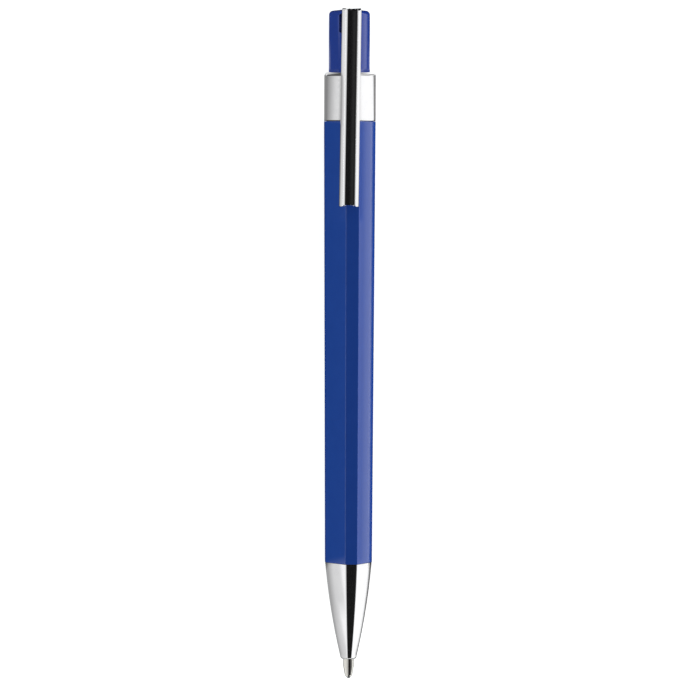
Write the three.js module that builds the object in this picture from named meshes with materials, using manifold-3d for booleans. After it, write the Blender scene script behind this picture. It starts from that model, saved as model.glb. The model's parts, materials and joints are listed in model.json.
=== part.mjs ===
// A push-button ballpoint pen with a rounded triangular barrel and a channel-shaped pocket clip.
//
// Every piece is built along the pen's own axis: local z runs from the ball's tip (z = 0) to the
// push button, local y points to the clip, and local x runs across. The last lines lay the pen on the
// broad face under its barrel, with the button end at +X and the clip upward. Sizes are millimetres.

import * as THREE from 'three';
import { mergeVertices } from 'three/addons/utils/BufferGeometryUtils.js';
import Module from 'manifold-3d';

const wasm = await Module();
wasm.setup();

// Section of the pen at its collar, looked at along the pen
const FACE_DISTANCE = 4.52;
const CORNER_RADIUS = 3.29;
const FLAT_WIDTH = 2.76;
const EDGE_RADIUS = 0.35;
const FRONT_EDGE_STEPS = 2;
const REAR_CORNER_STEPS = 7;

// Lengths along the pen, as seen from outside with the point out
const POINT_PROJECTION = 4.1;
const CONE_LENGTH = 20.3;
const BARREL_LENGTH = 92.6;
const COLLAR_LENGTH = 10.3;
const BUTTON_EXPOSED = 12.9;

// Barrel
const BARREL_NOSE_SCALE = 0.913;
const BARREL_STEPS = 6;
const NECK_WALL = 0.52;
const WELL_START = 1.6;

// Collar
const COLLAR_WALL = 0.45;
const COLLAR_LIP = 0.7;
const COLLAR_SHOULDER = 1;
const SHOULDER_STEPS = 4;

// Nose cone: its end is this share of the collar's section, its sides bulge by the mid scale
const CONE_STEP_IN = 0.05;
const CONE_MID_SCALE = 0.729;
const CONE_END_SCALE = 0.318;
const CONE_STEPS = 10;
const CONE_LIP = 0.52;
const CONE_LIP_INSET = 0.22;
const SPIGOT_LENGTH = 7;
const SPIGOT_WALL = 0.65;
const SPRING_LEDGE_DEPTH = 10.5;
const GUIDE_GAP = 0.15;

// Push button
const BUTTON_TOP_SCALE = 0.985;
const BUTTON_ROUNDING = 1;
const BUTTON_CAP = 6.2;
const WINDOW_WIDTH = 4.6;
const WINDOW_HEIGHT = 4;
const WINDOW_RIM = 0.7;
const WINDOW_FLOOR = 1.5;
const WINDOW_CORNER = 0.5;

// Clip: a channel with its web in front and two flanges leaning back
const CLIP_LENGTH = 41.6;
const CLIP_RISE = 0.5;
const CLIP_THICKNESS = 0.45;
const CLIP_WEB_WIDTH = 2.3;
const CLIP_FLANGE_LENGTH = 1.7;
const CLIP_FLANGE_ANGLE = 55;
const CLIP_WEB_DISTANCE = 8.9;
const CLIP_LEAN = 0.74;
const CLIP_SKEW = 0.75;
const CLIP_SIDE_SHIFT = 0.42;
const CLIP_TOP_DIP = 0.4;
const CLIP_LOBE_DIP = 0.3;
const CLIP_LOBE_RADIUS = 0.5;
const TAB_WIDTH = 1.4;
const TAB_PLATE_WIDTH = 3.6;
const TAB_FOLD_RADIUS = 0.5;
const TAB_BEND_RADIUS = 0.5;
const TAB_DROP = 3;
const TAB_GRIP = 0.6;
const TAB_TOP_SETBACK = 0.42;

// Click mechanism
const CLICK_TRAVEL = 5;
const OVER_TRAVEL = 1.5;
const RIB_COUNT = 4;
const FIN_ANGLE = 18;
const GROOVE_ANGLE = 28;
const FIN_HEIGHT = 0.55;
const FIN_LENGTH = 4.5;
const LUG_LENGTH = 3;
const TOOTH_COUNT = 8;
const TOOTH_HEIGHT = 0.6;
const TOOTH_RISE_SHARE = 0.94;
const TOOTH_REACH = 0.45;
const TOOTH_GAP = 0.15;
const ROTOR_WALL = 0.5;
const ROTOR_SOCKET_DEPTH = 4.2;
const ROTOR_HEAD = 2.9;
const SLEEVE_WALL = 0.6;
const SLEEVE_SKIRT = 5.2;
const SLEEVE_STOP = 1.3;
const STEM_STEP = 0.35;

// Refill
const BALL_RADIUS = 0.5;
const BALL_SHOWING = 0.35;
const POINT_RADIUS = 1.12;
const POINT_TAPER_RADIUS = 0.78;
const POINT_MOUTH_RADIUS = 0.48;
const POINT_TAPER_START = 2.6;
const POINT_TAPER_STEP = 1.85;
const POINT_LENGTH = 11.1;
const SHANK_RADIUS = 0.8;
const SHANK_LENGTH = 4;
const INK_CHANNEL_RADIUS = 0.35;
const ADAPTOR_LENGTH = 22.8;
const ADAPTOR_COLLAR = 1.4;
const ADAPTOR_COLLAR_RADIUS = 2.1;
const ADAPTOR_SPIGOT = 4;
const TUBE_RADIUS = 1.5;
const TUBE_WALL = 0.4;
const EMPTY_TUBE = 18;
const GREASE_LENGTH = 5;

// Return spring
const WIRE_RADIUS = 0.175;
const SPRING_INNER_GAP = 0.225;
const SPRING_OUTER_GAP = 0.275;
const SPRING_TURNS = 14;
const SPRING_STEPS_PER_TURN = 8;
const WIRE_SIDES = 5;

// Clearances
const SEAM_GAP = 0.05;
const PRESS_GAP = 0.05;
const SLIDE_GAP = 0.1;
const SEAT_GAP = 0.2;
const BALL_GAP = 0.03;

// How far a cut or a join runs past the face that it meets
const OVERCUT = 1;

// Facets
const ROUND_SIDES = 32;
const BALL_SIDES = 16;
const CURVE_SEGMENTS = 6;
const MERGE_TOLERANCE = 1e-4;

// Stations along the pen, from the ball's tip, worked out from the lengths above
const coneFront = POINT_PROJECTION;
const coneBack = coneFront + CONE_LENGTH;
const collarFront = coneBack + BARREL_LENGTH;
const collarBack = collarFront + COLLAR_LENGTH;
const buttonTop = collarBack + BUTTON_EXPOSED;
const neckTop = collarBack - COLLAR_LIP;
const wellFloor = collarFront + WELL_START;
const sleeveTop = wellFloor - SEAT_GAP;
const stopFloor = sleeveTop - SLEEVE_STOP;
const lugTop = stopFloor - SLIDE_GAP - CLICK_TRAVEL;
const lugBottom = lugTop - LUG_LENGTH;
const plungerTip = lugBottom - TOOTH_REACH;
const rotorTop = plungerTip - TOOTH_GAP;
const landBottom = rotorTop + SEAT_GAP;
const sleeveBottom = landBottom - SLEEVE_SKIRT;
const rotorCeiling = rotorTop - ROTOR_HEAD;
const refillTop = rotorCeiling - SEAT_GAP;
const rotorBottom = rotorCeiling - ROTOR_SOCKET_DEPTH;
const skirtBottom = wellFloor + OVER_TRAVEL + SEAT_GAP;
const capFloor = buttonTop - BUTTON_CAP;
const stemStep = sleeveTop + OVER_TRAVEL + SEAT_GAP;
const ledge = coneFront + SPRING_LEDGE_DEPTH;
const spigotBack = coneBack + SPIGOT_LENGTH;
const adaptorBottom = POINT_LENGTH + SLIDE_GAP;
const adaptorRoom = adaptorBottom - OVER_TRAVEL - SEAT_GAP;
const adaptorShoulder = adaptorBottom + ADAPTOR_LENGTH;
const adaptorTop = adaptorShoulder + ADAPTOR_COLLAR;
const spigotTop = adaptorTop + ADAPTOR_SPIGOT;
const windowTop = buttonTop - WINDOW_RIM;
const tabStation = buttonTop + CLIP_RISE - TAB_DROP;

// Radii, from the refill outward
const tubeBore = TUBE_RADIUS - TUBE_WALL;
const adaptorRadius = TUBE_RADIUS - PRESS_GAP;
const springRadius = TUBE_RADIUS + SPRING_INNER_GAP + WIRE_RADIUS;
const springBore = springRadius + WIRE_RADIUS + SPRING_OUTER_GAP;
const spigotRadius = springBore + SPIGOT_WALL;
const barrelBore = spigotRadius + PRESS_GAP;
const rotorSocket = TUBE_RADIUS + SLIDE_GAP;
const rotorRadius = rotorSocket + ROTOR_WALL;
const plungerRadius = rotorRadius - SEAM_GAP;
const landRadius = rotorRadius + SLIDE_GAP;
const finRadius = rotorRadius + FIN_HEIGHT;
const grooveRadius = finRadius + SLIDE_GAP;
const sleeveRadius = grooveRadius + SLEEVE_WALL;
const sleeveSeat = sleeveRadius + PRESS_GAP;
const stemRadius = plungerRadius + STEM_STEP;

// How far the neck and the button lie inside the collar's outer section
const neckInset = COLLAR_WALL + PRESS_GAP;
const buttonInset = neckInset + NECK_WALL + SLIDE_GAP;

const flatDistance = 2 * FACE_DISTANCE - FLAT_WIDTH * Math.sqrt(3) / 2;
const barrelDraft = Math.atan(FACE_DISTANCE * (1 - BARREL_NOSE_SCALE) / BARREL_LENGTH);
const { degToRad } = THREE.MathUtils;

/** Turns a closed geometry into a solid that can be joined and cut. */
function toSolid(geometry) {
  const bare = geometry.index ? geometry.toNonIndexed() : geometry.clone();
  bare.deleteAttribute('normal');
  bare.deleteAttribute('uv');
  const merged = mergeVertices(bare, MERGE_TOLERANCE);
  return new wasm.Manifold(new wasm.Mesh({
    numProp: 3,
    vertProperties: new Float32Array(merged.attributes.position.array),
    triVerts: new Uint32Array(merged.index.array),
  }));
}

/** Turns a solid back into a geometry. */
function toGeometry(solid) {
  const mesh = solid.getMesh();
  const geometry = new THREE.BufferGeometry();
  geometry.setAttribute('position', new THREE.BufferAttribute(new Float32Array(mesh.vertProperties), 3));
  geometry.setIndex(new THREE.BufferAttribute(new Uint32Array(mesh.triVerts), 1));
  geometry.computeVertexNormals();
  return geometry;
}

/** Centre of the arc that rounds the corner between two faces, given by normal angle and distance. */
function cornerCentre(angleA, distanceA, angleB, distanceB, radius) {
  const a = distanceA - radius;
  const b = distanceB - radius;
  const sinAB = Math.sin(angleB - angleA);
  return new THREE.Vector2(
    -(b * Math.cos(angleA) - a * Math.cos(angleB)) / sinAB,
    (a * Math.sin(angleB) - b * Math.sin(angleA)) / sinAB,
  );
}

/**
 * The pen's section at a height z: three broad faces, two rounded corners and a flat under the clip.
 * Angles turn counterclockwise from +y. The section is scaled first and then drawn in by the inset.
 */
function sectionRing(z, scale, inset) {
  const face = FACE_DISTANCE * scale - inset;
  const flat = flatDistance * scale - inset;
  const corner = Math.max(CORNER_RADIUS * scale - inset, EDGE_RADIUS * scale);
  const edge = EDGE_RADIUS * scale;
  const third = degToRad(60);
  const arcs = [
    [0, flat, third, face, edge, FRONT_EDGE_STEPS],
    [third, face, 3 * third, face, corner, REAR_CORNER_STEPS],
    [3 * third, face, 5 * third, face, corner, REAR_CORNER_STEPS],
    [5 * third, face, 6 * third, flat, edge, FRONT_EDGE_STEPS],
  ];
  const ring = [];
  for (const [angleA, distanceA, angleB, distanceB, radius, steps] of arcs) {
    const centre = cornerCentre(angleA, distanceA, angleB, distanceB, radius);
    for (let i = 0; i <= steps; i += 1) {
      const angle = angleA + (angleB - angleA) * i / steps;
      const x = centre.x - radius * Math.sin(angle);
      const y = centre.y + radius * Math.cos(angle);
      ring.push(new THREE.Vector3(x, y, z));
    }
  }
  return ring;
}

/** A closed solid skinned over rings of equal count, each ring convex about the pen's axis. */
function loft(rings) {
  const count = rings[0].length;
  const points = rings.flat();
  const faces = [];
  for (let i = 0; i < rings.length - 1; i += 1) {
    for (let j = 0; j < count; j += 1) {
      const next = (j + 1) % count;
      const low = i * count;
      const high = low + count;
      faces.push(low + j, low + next, high + next, low + j, high + next, high + j);
    }
  }
  const last = (rings.length - 1) * count;
  for (let j = 1; j < count - 1; j += 1) {
    faces.push(0, j + 1, j);
    faces.push(last, last + j, last + j + 1);
  }
  const geometry = new THREE.BufferGeometry().setFromPoints(points);
  geometry.setIndex(faces);
  return toSolid(geometry);
}

/** A solid with the pen's section from one height to another. */
function sectionBar(zLow, zHigh, scaleLow, scaleHigh, inset, steps = 1) {
  const rings = [];
  for (let i = 0; i <= steps; i += 1) {
    const share = i / steps;
    const scale = scaleLow + (scaleHigh - scaleLow) * share;
    rings.push(sectionRing(zLow + (zHigh - zLow) * share, scale, inset));
  }
  return loft(rings);
}

/** A solid turned about the pen's axis from [radius, height] pairs; it closes on the axis. */
function turned(profile, sides = ROUND_SIDES) {
  const points = profile.map(([radius, height]) => new THREE.Vector2(radius, height));
  const geometry = new THREE.LatheGeometry(points, sides);
  geometry.rotateX(Math.PI / 2);
  const solid = toSolid(geometry);
  return solid.volume() < 0 ? toSolid(geometry.scale(-1, 1, 1)) : solid;
}

/** A round bar about the axis. */
function roundBar(radius, zLow, zHigh) {
  return turned([[0, zLow], [radius, zLow], [radius, zHigh], [0, zHigh]]);
}

/** A box given by its low and high corners. */
function box(low, high) {
  const size = high.map((value, i) => value - low[i]);
  const geometry = new THREE.BoxGeometry(...size);
  geometry.translate(...low.map((value, i) => value + size[i] / 2));
  return toSolid(geometry);
}

/**
 * A ring around the axis between two radii, flat at one end, whose other end rises and falls in
 * saw teeth: each tooth climbs by the tooth height over most of its width and drops over the rest.
 */
function crown(inner, outer, flatEnd, toothEnd) {
  const profile = [];
  for (let tooth = 0; tooth < TOOTH_COUNT; tooth += 1) {
    profile.push([tooth, toothEnd]);
    profile.push([tooth + TOOTH_RISE_SHARE / 2, toothEnd + TOOTH_HEIGHT / 2]);
    profile.push([tooth + TOOTH_RISE_SHARE, toothEnd + TOOTH_HEIGHT]);
  }
  const points = [];
  for (const [turn, height] of profile) {
    const angle = 2 * Math.PI * turn / TOOTH_COUNT;
    const direction = [Math.cos(angle), Math.sin(angle)];
    for (const [radius, z] of [[inner, flatEnd], [outer, flatEnd], [inner, height], [outer, height]]) {
      points.push(new THREE.Vector3(radius * direction[0], radius * direction[1], z));
    }
  }
  const quads = [[0, 1], [1, 3], [3, 2], [2, 0]];
  const faces = [];
  const columns = profile.length;
  for (let i = 0; i < columns; i += 1) {
    const here = 4 * i;
    const next = 4 * ((i + 1) % columns);
    for (const [a, b] of quads) {
      faces.push(here + a, here + b, next + b, here + a, next + b, next + a);
    }
  }
  const geometry = new THREE.BufferGeometry().setFromPoints(points);
  geometry.setIndex(faces);
  const solid = toSolid(geometry);
  return solid.volume() < 0 ? toSolid(reversed(geometry)) : solid;
}

/** The same geometry with its faces turned over. */
function reversed(geometry) {
  const copy = geometry.clone();
  copy.setIndex([...geometry.index.array].reverse());
  return copy;
}

/** A shape pushed out along z by a depth, with square edges. */
function extruded(shape, depth) {
  return new THREE.ExtrudeGeometry(shape, { depth, bevelEnabled: false, curveSegments: CURVE_SEGMENTS });
}

/** A wedge of a ring: between two radii, two heights, and half an angle either side of its middle. */
function ringWedge(inner, outer, zLow, zHigh, middle, width) {
  const half = degToRad(width) / 2;
  const centre = degToRad(middle);
  const shape = new THREE.Shape();
  shape.absarc(0, 0, outer, centre - half, centre + half, false);
  shape.absarc(0, 0, inner, centre + half, centre - half, true);
  shape.closePath();
  const geometry = extruded(shape, zHigh - zLow);
  geometry.translate(0, 0, zLow);
  return toSolid(geometry);
}

/** Joins a list of solids into one. */
function joined(solids) {
  return solids.reduce((whole, solid) => whole.add(solid));
}

/** One wedge on each of the mechanism's rib places. */
function ribs(inner, outer, zLow, zHigh, width) {
  const wedges = [];
  for (let i = 0; i < RIB_COUNT; i += 1) {
    wedges.push(ringWedge(inner, outer, zLow, zHigh, 360 * i / RIB_COUNT, width));
  }
  return joined(wedges);
}

/** The drafted barrel, its neck inside the collar, and the bores for cone, refill and mechanism. */
function barrelSolid() {
  const body = sectionBar(coneBack, collarFront, BARREL_NOSE_SCALE, 1, 0, BARREL_STEPS);
  const neck = sectionBar(collarFront - OVERCUT, neckTop, 1, 1, neckInset);
  const bore = roundBar(barrelBore, coneBack - OVERCUT, wellFloor);
  const seat = roundBar(sleeveSeat, sleeveBottom - SEAT_GAP, wellFloor + SEAT_GAP);
  const well = sectionBar(wellFloor, neckTop + OVERCUT, 1, 1, neckInset + NECK_WALL);
  return body.add(neck).subtract(bore).subtract(seat).subtract(well);
}

/** The collar pressed over the barrel's neck, with a rounded shoulder and the button's opening. */
function collarSolid() {
  const low = collarFront + SEAM_GAP;
  const rings = [sectionRing(low, 1, 0)];
  for (let i = 0; i <= SHOULDER_STEPS; i += 1) {
    const angle = Math.PI / 2 * i / SHOULDER_STEPS;
    const z = collarBack - COLLAR_SHOULDER * (1 - Math.sin(angle));
    rings.push(sectionRing(z, 1, COLLAR_SHOULDER * (1 - Math.cos(angle))));
  }
  const seat = sectionBar(low - OVERCUT, neckTop + SEAM_GAP, 1, 1, neckInset - PRESS_GAP);
  const opening = sectionBar(low, collarBack + OVERCUT, 1, 1, buttonInset - SLIDE_GAP);
  return loft(rings).subtract(seat).subtract(opening);
}

/** Scale of the nose cone's section at a share of its length, from its front. */
function coneScale(share) {
  const backScale = BARREL_NOSE_SCALE - CONE_STEP_IN / FACE_DISTANCE;
  const curve = new THREE.QuadraticBezierCurve(
    new THREE.Vector2(0, CONE_END_SCALE),
    new THREE.Vector2(0.5, CONE_MID_SCALE),
    new THREE.Vector2(1, backScale),
  );
  return curve.getPoint(share).y;
}

/** The nose cone: an ogive of the pen's section, a spigot for the barrel and a stepped bore. */
function noseConeSolid() {
  const back = coneBack - SEAM_GAP;
  const rings = [sectionRing(coneFront, CONE_END_SCALE, CONE_LIP_INSET)];
  for (let i = 0; i <= CONE_STEPS; i += 1) {
    const share = i / CONE_STEPS;
    const z = coneFront + CONE_LIP + (back - coneFront - CONE_LIP) * share;
    rings.push(sectionRing(z, coneScale(share), 0));
  }
  const spigot = roundBar(spigotRadius, back - OVERCUT, spigotBack);
  const springChamber = roundBar(springBore, ledge, spigotBack + OVERCUT);
  const adaptorBore = roundBar(adaptorRadius + GUIDE_GAP, adaptorRoom, ledge + OVERCUT);
  const guide = roundBar(POINT_RADIUS + SLIDE_GAP, coneFront - OVERCUT, ledge);
  return loft(rings).add(spigot).subtract(springChamber).subtract(adaptorBore).subtract(guide);
}

/** A rounded rectangle cut through along y, given in x and z. */
function windowCutter(width, zLow, zHigh, yLow, yHigh, radius) {
  const half = width / 2;
  const shape = new THREE.Shape();
  shape.absarc(half - radius, zLow + radius, radius, -Math.PI / 2, 0, false);
  shape.absarc(half - radius, zHigh - radius, radius, 0, Math.PI / 2, false);
  shape.absarc(radius - half, zHigh - radius, radius, Math.PI / 2, Math.PI, false);
  shape.absarc(radius - half, zLow + radius, radius, Math.PI, 1.5 * Math.PI, false);
  shape.closePath();
  const geometry = extruded(shape, yHigh - yLow);
  geometry.rotateX(Math.PI / 2);
  geometry.translate(0, yHigh, 0);
  return toSolid(geometry);
}

/** The push button: a skirt that slides in the neck, a solid cap, the clip's window and its slot. */
function buttonSolid() {
  const rings = [sectionRing(skirtBottom, 1, buttonInset), sectionRing(collarBack, 1, buttonInset)];
  for (let i = 0; i <= SHOULDER_STEPS; i += 1) {
    const angle = Math.PI / 2 * i / SHOULDER_STEPS;
    const z = buttonTop - BUTTON_ROUNDING * (1 - Math.sin(angle));
    const inset = buttonInset + BUTTON_ROUNDING * (1 - Math.cos(angle));
    rings.push(sectionRing(z, BUTTON_TOP_SCALE, inset));
  }
  const stemBore = roundBar(stemRadius + PRESS_GAP, skirtBottom - OVERCUT, capFloor);
  const window = windowCutter(
    WINDOW_WIDTH, windowTop - WINDOW_HEIGHT, windowTop, WINDOW_FLOOR, 2 * flatDistance, WINDOW_CORNER,
  );
  const slotHalf = CLIP_THICKNESS / 2 + SLIDE_GAP;
  const slotSide = TAB_WIDTH / 2 + SLIDE_GAP;
  const slot = box(
    [CLIP_SIDE_SHIFT - slotSide, WINDOW_FLOOR - TAB_GRIP - SLIDE_GAP, tabStation - slotHalf],
    [CLIP_SIDE_SHIFT + slotSide, WINDOW_FLOOR + TAB_GRIP, tabStation + slotHalf],
  );
  return loft(rings).subtract(stemBore).subtract(window).subtract(slot);
}

/** The channel's section in x and y: web in front, flanges leaning back, sheet of even thickness. */
function channelShape() {
  const lean = degToRad(CLIP_FLANGE_ANGLE);
  const webHalf = CLIP_WEB_WIDTH / 2;
  const innerHalf = webHalf - CLIP_THICKNESS * Math.tan(lean / 2);
  const web = CLIP_WEB_DISTANCE;
  const tip = new THREE.Vector2(
    webHalf + CLIP_FLANGE_LENGTH * Math.cos(lean),
    web - CLIP_FLANGE_LENGTH * Math.sin(lean),
  );
  const innerTip = new THREE.Vector2(
    tip.x - CLIP_THICKNESS * Math.sin(lean),
    tip.y - CLIP_THICKNESS * Math.cos(lean),
  );
  const shape = new THREE.Shape();
  shape.moveTo(webHalf, web);
  shape.lineTo(-webHalf, web);
  shape.lineTo(-tip.x, tip.y);
  shape.lineTo(-innerTip.x, innerTip.y);
  shape.lineTo(-innerHalf, web - CLIP_THICKNESS);
  shape.lineTo(innerHalf, web - CLIP_THICKNESS);
  shape.lineTo(innerTip.x, innerTip.y);
  shape.lineTo(tip.x, tip.y);
  shape.closePath();
  return shape;
}

/** The clip's outline from the front in x and z: a dipped top edge and two rounded lobes below. */
function clipOutline(zLow, zHigh) {
  const half = CLIP_WEB_WIDTH / 2 + CLIP_FLANGE_LENGTH * Math.cos(degToRad(CLIP_FLANGE_ANGLE));
  const lobe = CLIP_LOBE_RADIUS;
  const shape = new THREE.Shape();
  shape.moveTo(-half - lobe, zLow + lobe);
  shape.lineTo(-half, zLow + lobe);
  shape.absarc(lobe - half, zLow + lobe, lobe, Math.PI, 1.5 * Math.PI, false);
  shape.quadraticCurveTo(0, zLow + 2 * CLIP_LOBE_DIP, half - lobe, zLow);
  shape.absarc(half - lobe, zLow + lobe, lobe, -Math.PI / 2, 0, false);
  shape.lineTo(half + lobe, zLow + lobe);
  shape.lineTo(half, zHigh);
  shape.quadraticCurveTo(0, zHigh - 2 * CLIP_TOP_DIP, -half, zHigh);
  shape.closePath();
  return shape;
}

/** The folded tab as a strip in y and z: up behind the web, over the fold and into the button. */
function tabShape(zTop) {
  const half = CLIP_THICKNESS / 2;
  const webMiddle = CLIP_WEB_DISTANCE - half;
  const foldY = webMiddle - TAB_FOLD_RADIUS;
  const foldZ = zTop - TAB_FOLD_RADIUS - half;
  const rearY = foldY - TAB_FOLD_RADIUS;
  const bendY = rearY - TAB_BEND_RADIUS;
  const bendZ = tabStation + TAB_BEND_RADIUS;
  const endY = WINDOW_FLOOR - TAB_GRIP;
  const frontZ = tabStation - TAB_DROP;
  const shape = new THREE.Shape();
  shape.moveTo(webMiddle + half, frontZ);
  shape.absarc(foldY, foldZ, TAB_FOLD_RADIUS + half, 0, Math.PI, false);
  shape.absarc(bendY, bendZ, TAB_BEND_RADIUS - half, 0, -Math.PI / 2, true);
  shape.lineTo(endY, tabStation + half);
  shape.lineTo(endY, tabStation - half);
  shape.absarc(bendY, bendZ, TAB_BEND_RADIUS + half, -Math.PI / 2, 0, false);
  shape.absarc(foldY, foldZ, TAB_FOLD_RADIUS - half, Math.PI, 0, true);
  shape.lineTo(webMiddle - half, frontZ);
  shape.closePath();
  return shape;
}

/** The clip in the pen's frame, upright and centred: channel, cut to its outline, and folded tab. */
function clipSolid() {
  const zHigh = buttonTop + CLIP_RISE;
  const zLow = zHigh - CLIP_LENGTH;
  const channel = extruded(channelShape(), CLIP_LENGTH + 2 * OVERCUT);
  channel.translate(0, 0, zLow - OVERCUT);
  const outline = extruded(clipOutline(zLow, zHigh), 2 * CLIP_WEB_DISTANCE);
  outline.rotateX(Math.PI / 2);
  outline.translate(0, 2 * CLIP_WEB_DISTANCE, 0);
  const tab = extruded(tabShape(zHigh - TAB_TOP_SETBACK), TAB_WIDTH);
  const basis = new THREE.Matrix4().makeBasis(
    new THREE.Vector3(0, 1, 0), new THREE.Vector3(0, 0, 1), new THREE.Vector3(1, 0, 0),
  );
  tab.applyMatrix4(basis);
  tab.translate(-TAB_WIDTH / 2, 0, 0);
  const plateFront = CLIP_WEB_DISTANCE - 2 * TAB_FOLD_RADIUS - TAB_BEND_RADIUS - CLIP_THICKNESS;
  const plate = box(
    [-TAB_PLATE_WIDTH / 2, WINDOW_FLOOR + SEAT_GAP, tabStation - CLIP_THICKNESS / 2],
    [TAB_PLATE_WIDTH / 2, plateFront, tabStation + CLIP_THICKNESS / 2],
  );
  return toSolid(channel).intersect(toSolid(outline)).add(toSolid(tab)).add(plate);
}

/** The plunger: saw-toothed foot, guide lugs for the sleeve's grooves, and a stem for the button. */
function plungerSolid() {
  const core = roundBar(plungerRadius, plungerTip + TOOTH_HEIGHT, stemStep + OVERCUT);
  const stem = roundBar(stemRadius, stemStep, capFloor - SEAT_GAP);
  const teeth = crown(plungerRadius - ROTOR_WALL, plungerRadius, lugTop, plungerTip);
  const lugs = ribs(plungerRadius - SLIDE_GAP, finRadius, lugBottom, lugTop, FIN_ANGLE);
  return core.add(stem).add(teeth).add(lugs);
}

/** The guide sleeve: lands between the grooves, a stop ring above them and a plain skirt below. */
function sleeveSolid() {
  const shell = roundBar(sleeveRadius, sleeveBottom, sleeveTop);
  const bore = roundBar(landRadius, sleeveBottom - OVERCUT, sleeveTop + OVERCUT);
  const skirt = roundBar(grooveRadius, sleeveBottom - OVERCUT, landBottom);
  const grooves = ribs(landRadius - SLIDE_GAP, grooveRadius, landBottom - OVERCUT, stopFloor, GROOVE_ANGLE);
  const lands = crown(landRadius - SLIDE_GAP, grooveRadius, landBottom - OVERCUT, landBottom);
  return shell.subtract(bore).subtract(skirt).subtract(lands).subtract(grooves);
}

/** The rotor: a cup for the refill's end, four fins and a saw-toothed head. */
function rotorSolid() {
  const finTop = rotorTop - TOOTH_HEIGHT;
  const body = roundBar(rotorRadius, rotorBottom, finTop);
  const head = crown(rotorRadius - ROTOR_WALL, rotorRadius, rotorCeiling, finTop);
  const fins = ribs(rotorRadius - SLIDE_GAP, finRadius, rotorTop - FIN_LENGTH, finTop, FIN_ANGLE);
  const socket = roundBar(rotorSocket, rotorBottom - OVERCUT, rotorCeiling);
  return body.add(head).add(fins).subtract(socket);
}

/** The metal point: taper, guide cylinder, shank, ink channel and the ball's round seat. */
function pointSolid() {
  const taperBack = POINT_TAPER_START;
  const taperFront = taperBack - POINT_TAPER_STEP;
  const body = turned([
    [0, BALL_SHOWING],
    [POINT_MOUTH_RADIUS, BALL_SHOWING],
    [POINT_TAPER_RADIUS, taperFront],
    [POINT_RADIUS, taperBack],
    [POINT_RADIUS, POINT_LENGTH],
    [SHANK_RADIUS, POINT_LENGTH],
    [SHANK_RADIUS, POINT_LENGTH + SHANK_LENGTH],
    [0, POINT_LENGTH + SHANK_LENGTH],
  ]);
  const channel = roundBar(INK_CHANNEL_RADIUS, BALL_RADIUS, POINT_LENGTH + SHANK_LENGTH + OVERCUT);
  const seat = new THREE.SphereGeometry(BALL_RADIUS + BALL_GAP, BALL_SIDES, BALL_SIDES / 2);
  seat.translate(0, 0, BALL_RADIUS);
  return body.subtract(channel).subtract(toSolid(seat));
}

/** The adaptor that carries the point in the ink tube, with the shoulder that takes the spring. */
function adaptorSolid() {
  const body = turned([
    [0, adaptorBottom],
    [adaptorRadius, adaptorBottom],
    [adaptorRadius, adaptorShoulder],
    [ADAPTOR_COLLAR_RADIUS, adaptorShoulder],
    [ADAPTOR_COLLAR_RADIUS, adaptorTop],
    [tubeBore - PRESS_GAP, adaptorTop],
    [tubeBore - PRESS_GAP, spigotTop],
    [0, spigotTop],
  ]);
  const shankTop = POINT_LENGTH + SHANK_LENGTH + SEAT_GAP;
  const shankBore = roundBar(SHANK_RADIUS + PRESS_GAP, adaptorBottom - OVERCUT, shankTop);
  const channel = roundBar(INK_CHANNEL_RADIUS, adaptorBottom, spigotTop + OVERCUT);
  return body.subtract(shankBore).subtract(channel);
}

/** The ink tube, open at both ends. */
function tubeSolid() {
  const low = adaptorTop + SEAM_GAP;
  const bore = roundBar(tubeBore, low - OVERCUT, refillTop + OVERCUT);
  return roundBar(TUBE_RADIUS, low, refillTop).subtract(bore);
}

/** The return spring between the cone's ledge and the adaptor's shoulder, as one unbroken tube. */
function springGeometry() {
  const low = ledge + WIRE_RADIUS + PRESS_GAP;
  const high = adaptorShoulder - WIRE_RADIUS - PRESS_GAP;
  const steps = SPRING_TURNS * SPRING_STEPS_PER_TURN;
  const rise = (high - low) / (2 * Math.PI * SPRING_TURNS * springRadius);
  const rings = [];
  for (let i = 0; i <= steps; i += 1) {
    const angle = 2 * Math.PI * i / SPRING_STEPS_PER_TURN;
    const outward = new THREE.Vector3(Math.cos(angle), Math.sin(angle), 0);
    const along = new THREE.Vector3(-Math.sin(angle), Math.cos(angle), rise).normalize();
    const across = new THREE.Vector3().crossVectors(along, outward);
    const centre = outward.clone().multiplyScalar(springRadius);
    centre.z = low + (high - low) * i / steps;
    const ring = [];
    for (let j = 0; j < WIRE_SIDES; j += 1) {
      const turn = 2 * Math.PI * j / WIRE_SIDES;
      ring.push(centre.clone()
        .addScaledVector(outward, WIRE_RADIUS * Math.cos(turn))
        .addScaledVector(across, WIRE_RADIUS * Math.sin(turn)));
    }
    rings.push(ring);
  }
  const leastGap = (high - low) / SPRING_TURNS - 2 * WIRE_RADIUS;
  console.log('least gap between the spring\'s curls, mm:', leastGap.toFixed(2));
  return toGeometry(loft(rings));
}

/** A named mesh with its own material. */
function part(name, geometry, color, roughness, metalness) {
  const mesh = new THREE.Mesh(geometry, new THREE.MeshStandardMaterial({ color, roughness, metalness }));
  mesh.name = name;
  return mesh;
}

/** The clip leans towards the barrel and sits a little askew about the end of its tab. */
function placedClip() {
  const pivot = new THREE.Vector3(0, WINDOW_FLOOR - TAB_GRIP / 2, tabStation);
  const geometry = toGeometry(clipSolid());
  geometry.translate(-pivot.x, -pivot.y, -pivot.z);
  const clip = part('clip', geometry, 0xdadada, 0.08, 1);
  clip.position.copy(pivot).add(new THREE.Vector3(CLIP_SIDE_SHIFT, 0, 0));
  clip.rotation.set(degToRad(CLIP_LEAN), degToRad(-CLIP_SKEW), 0);
  return clip;
}

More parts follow.
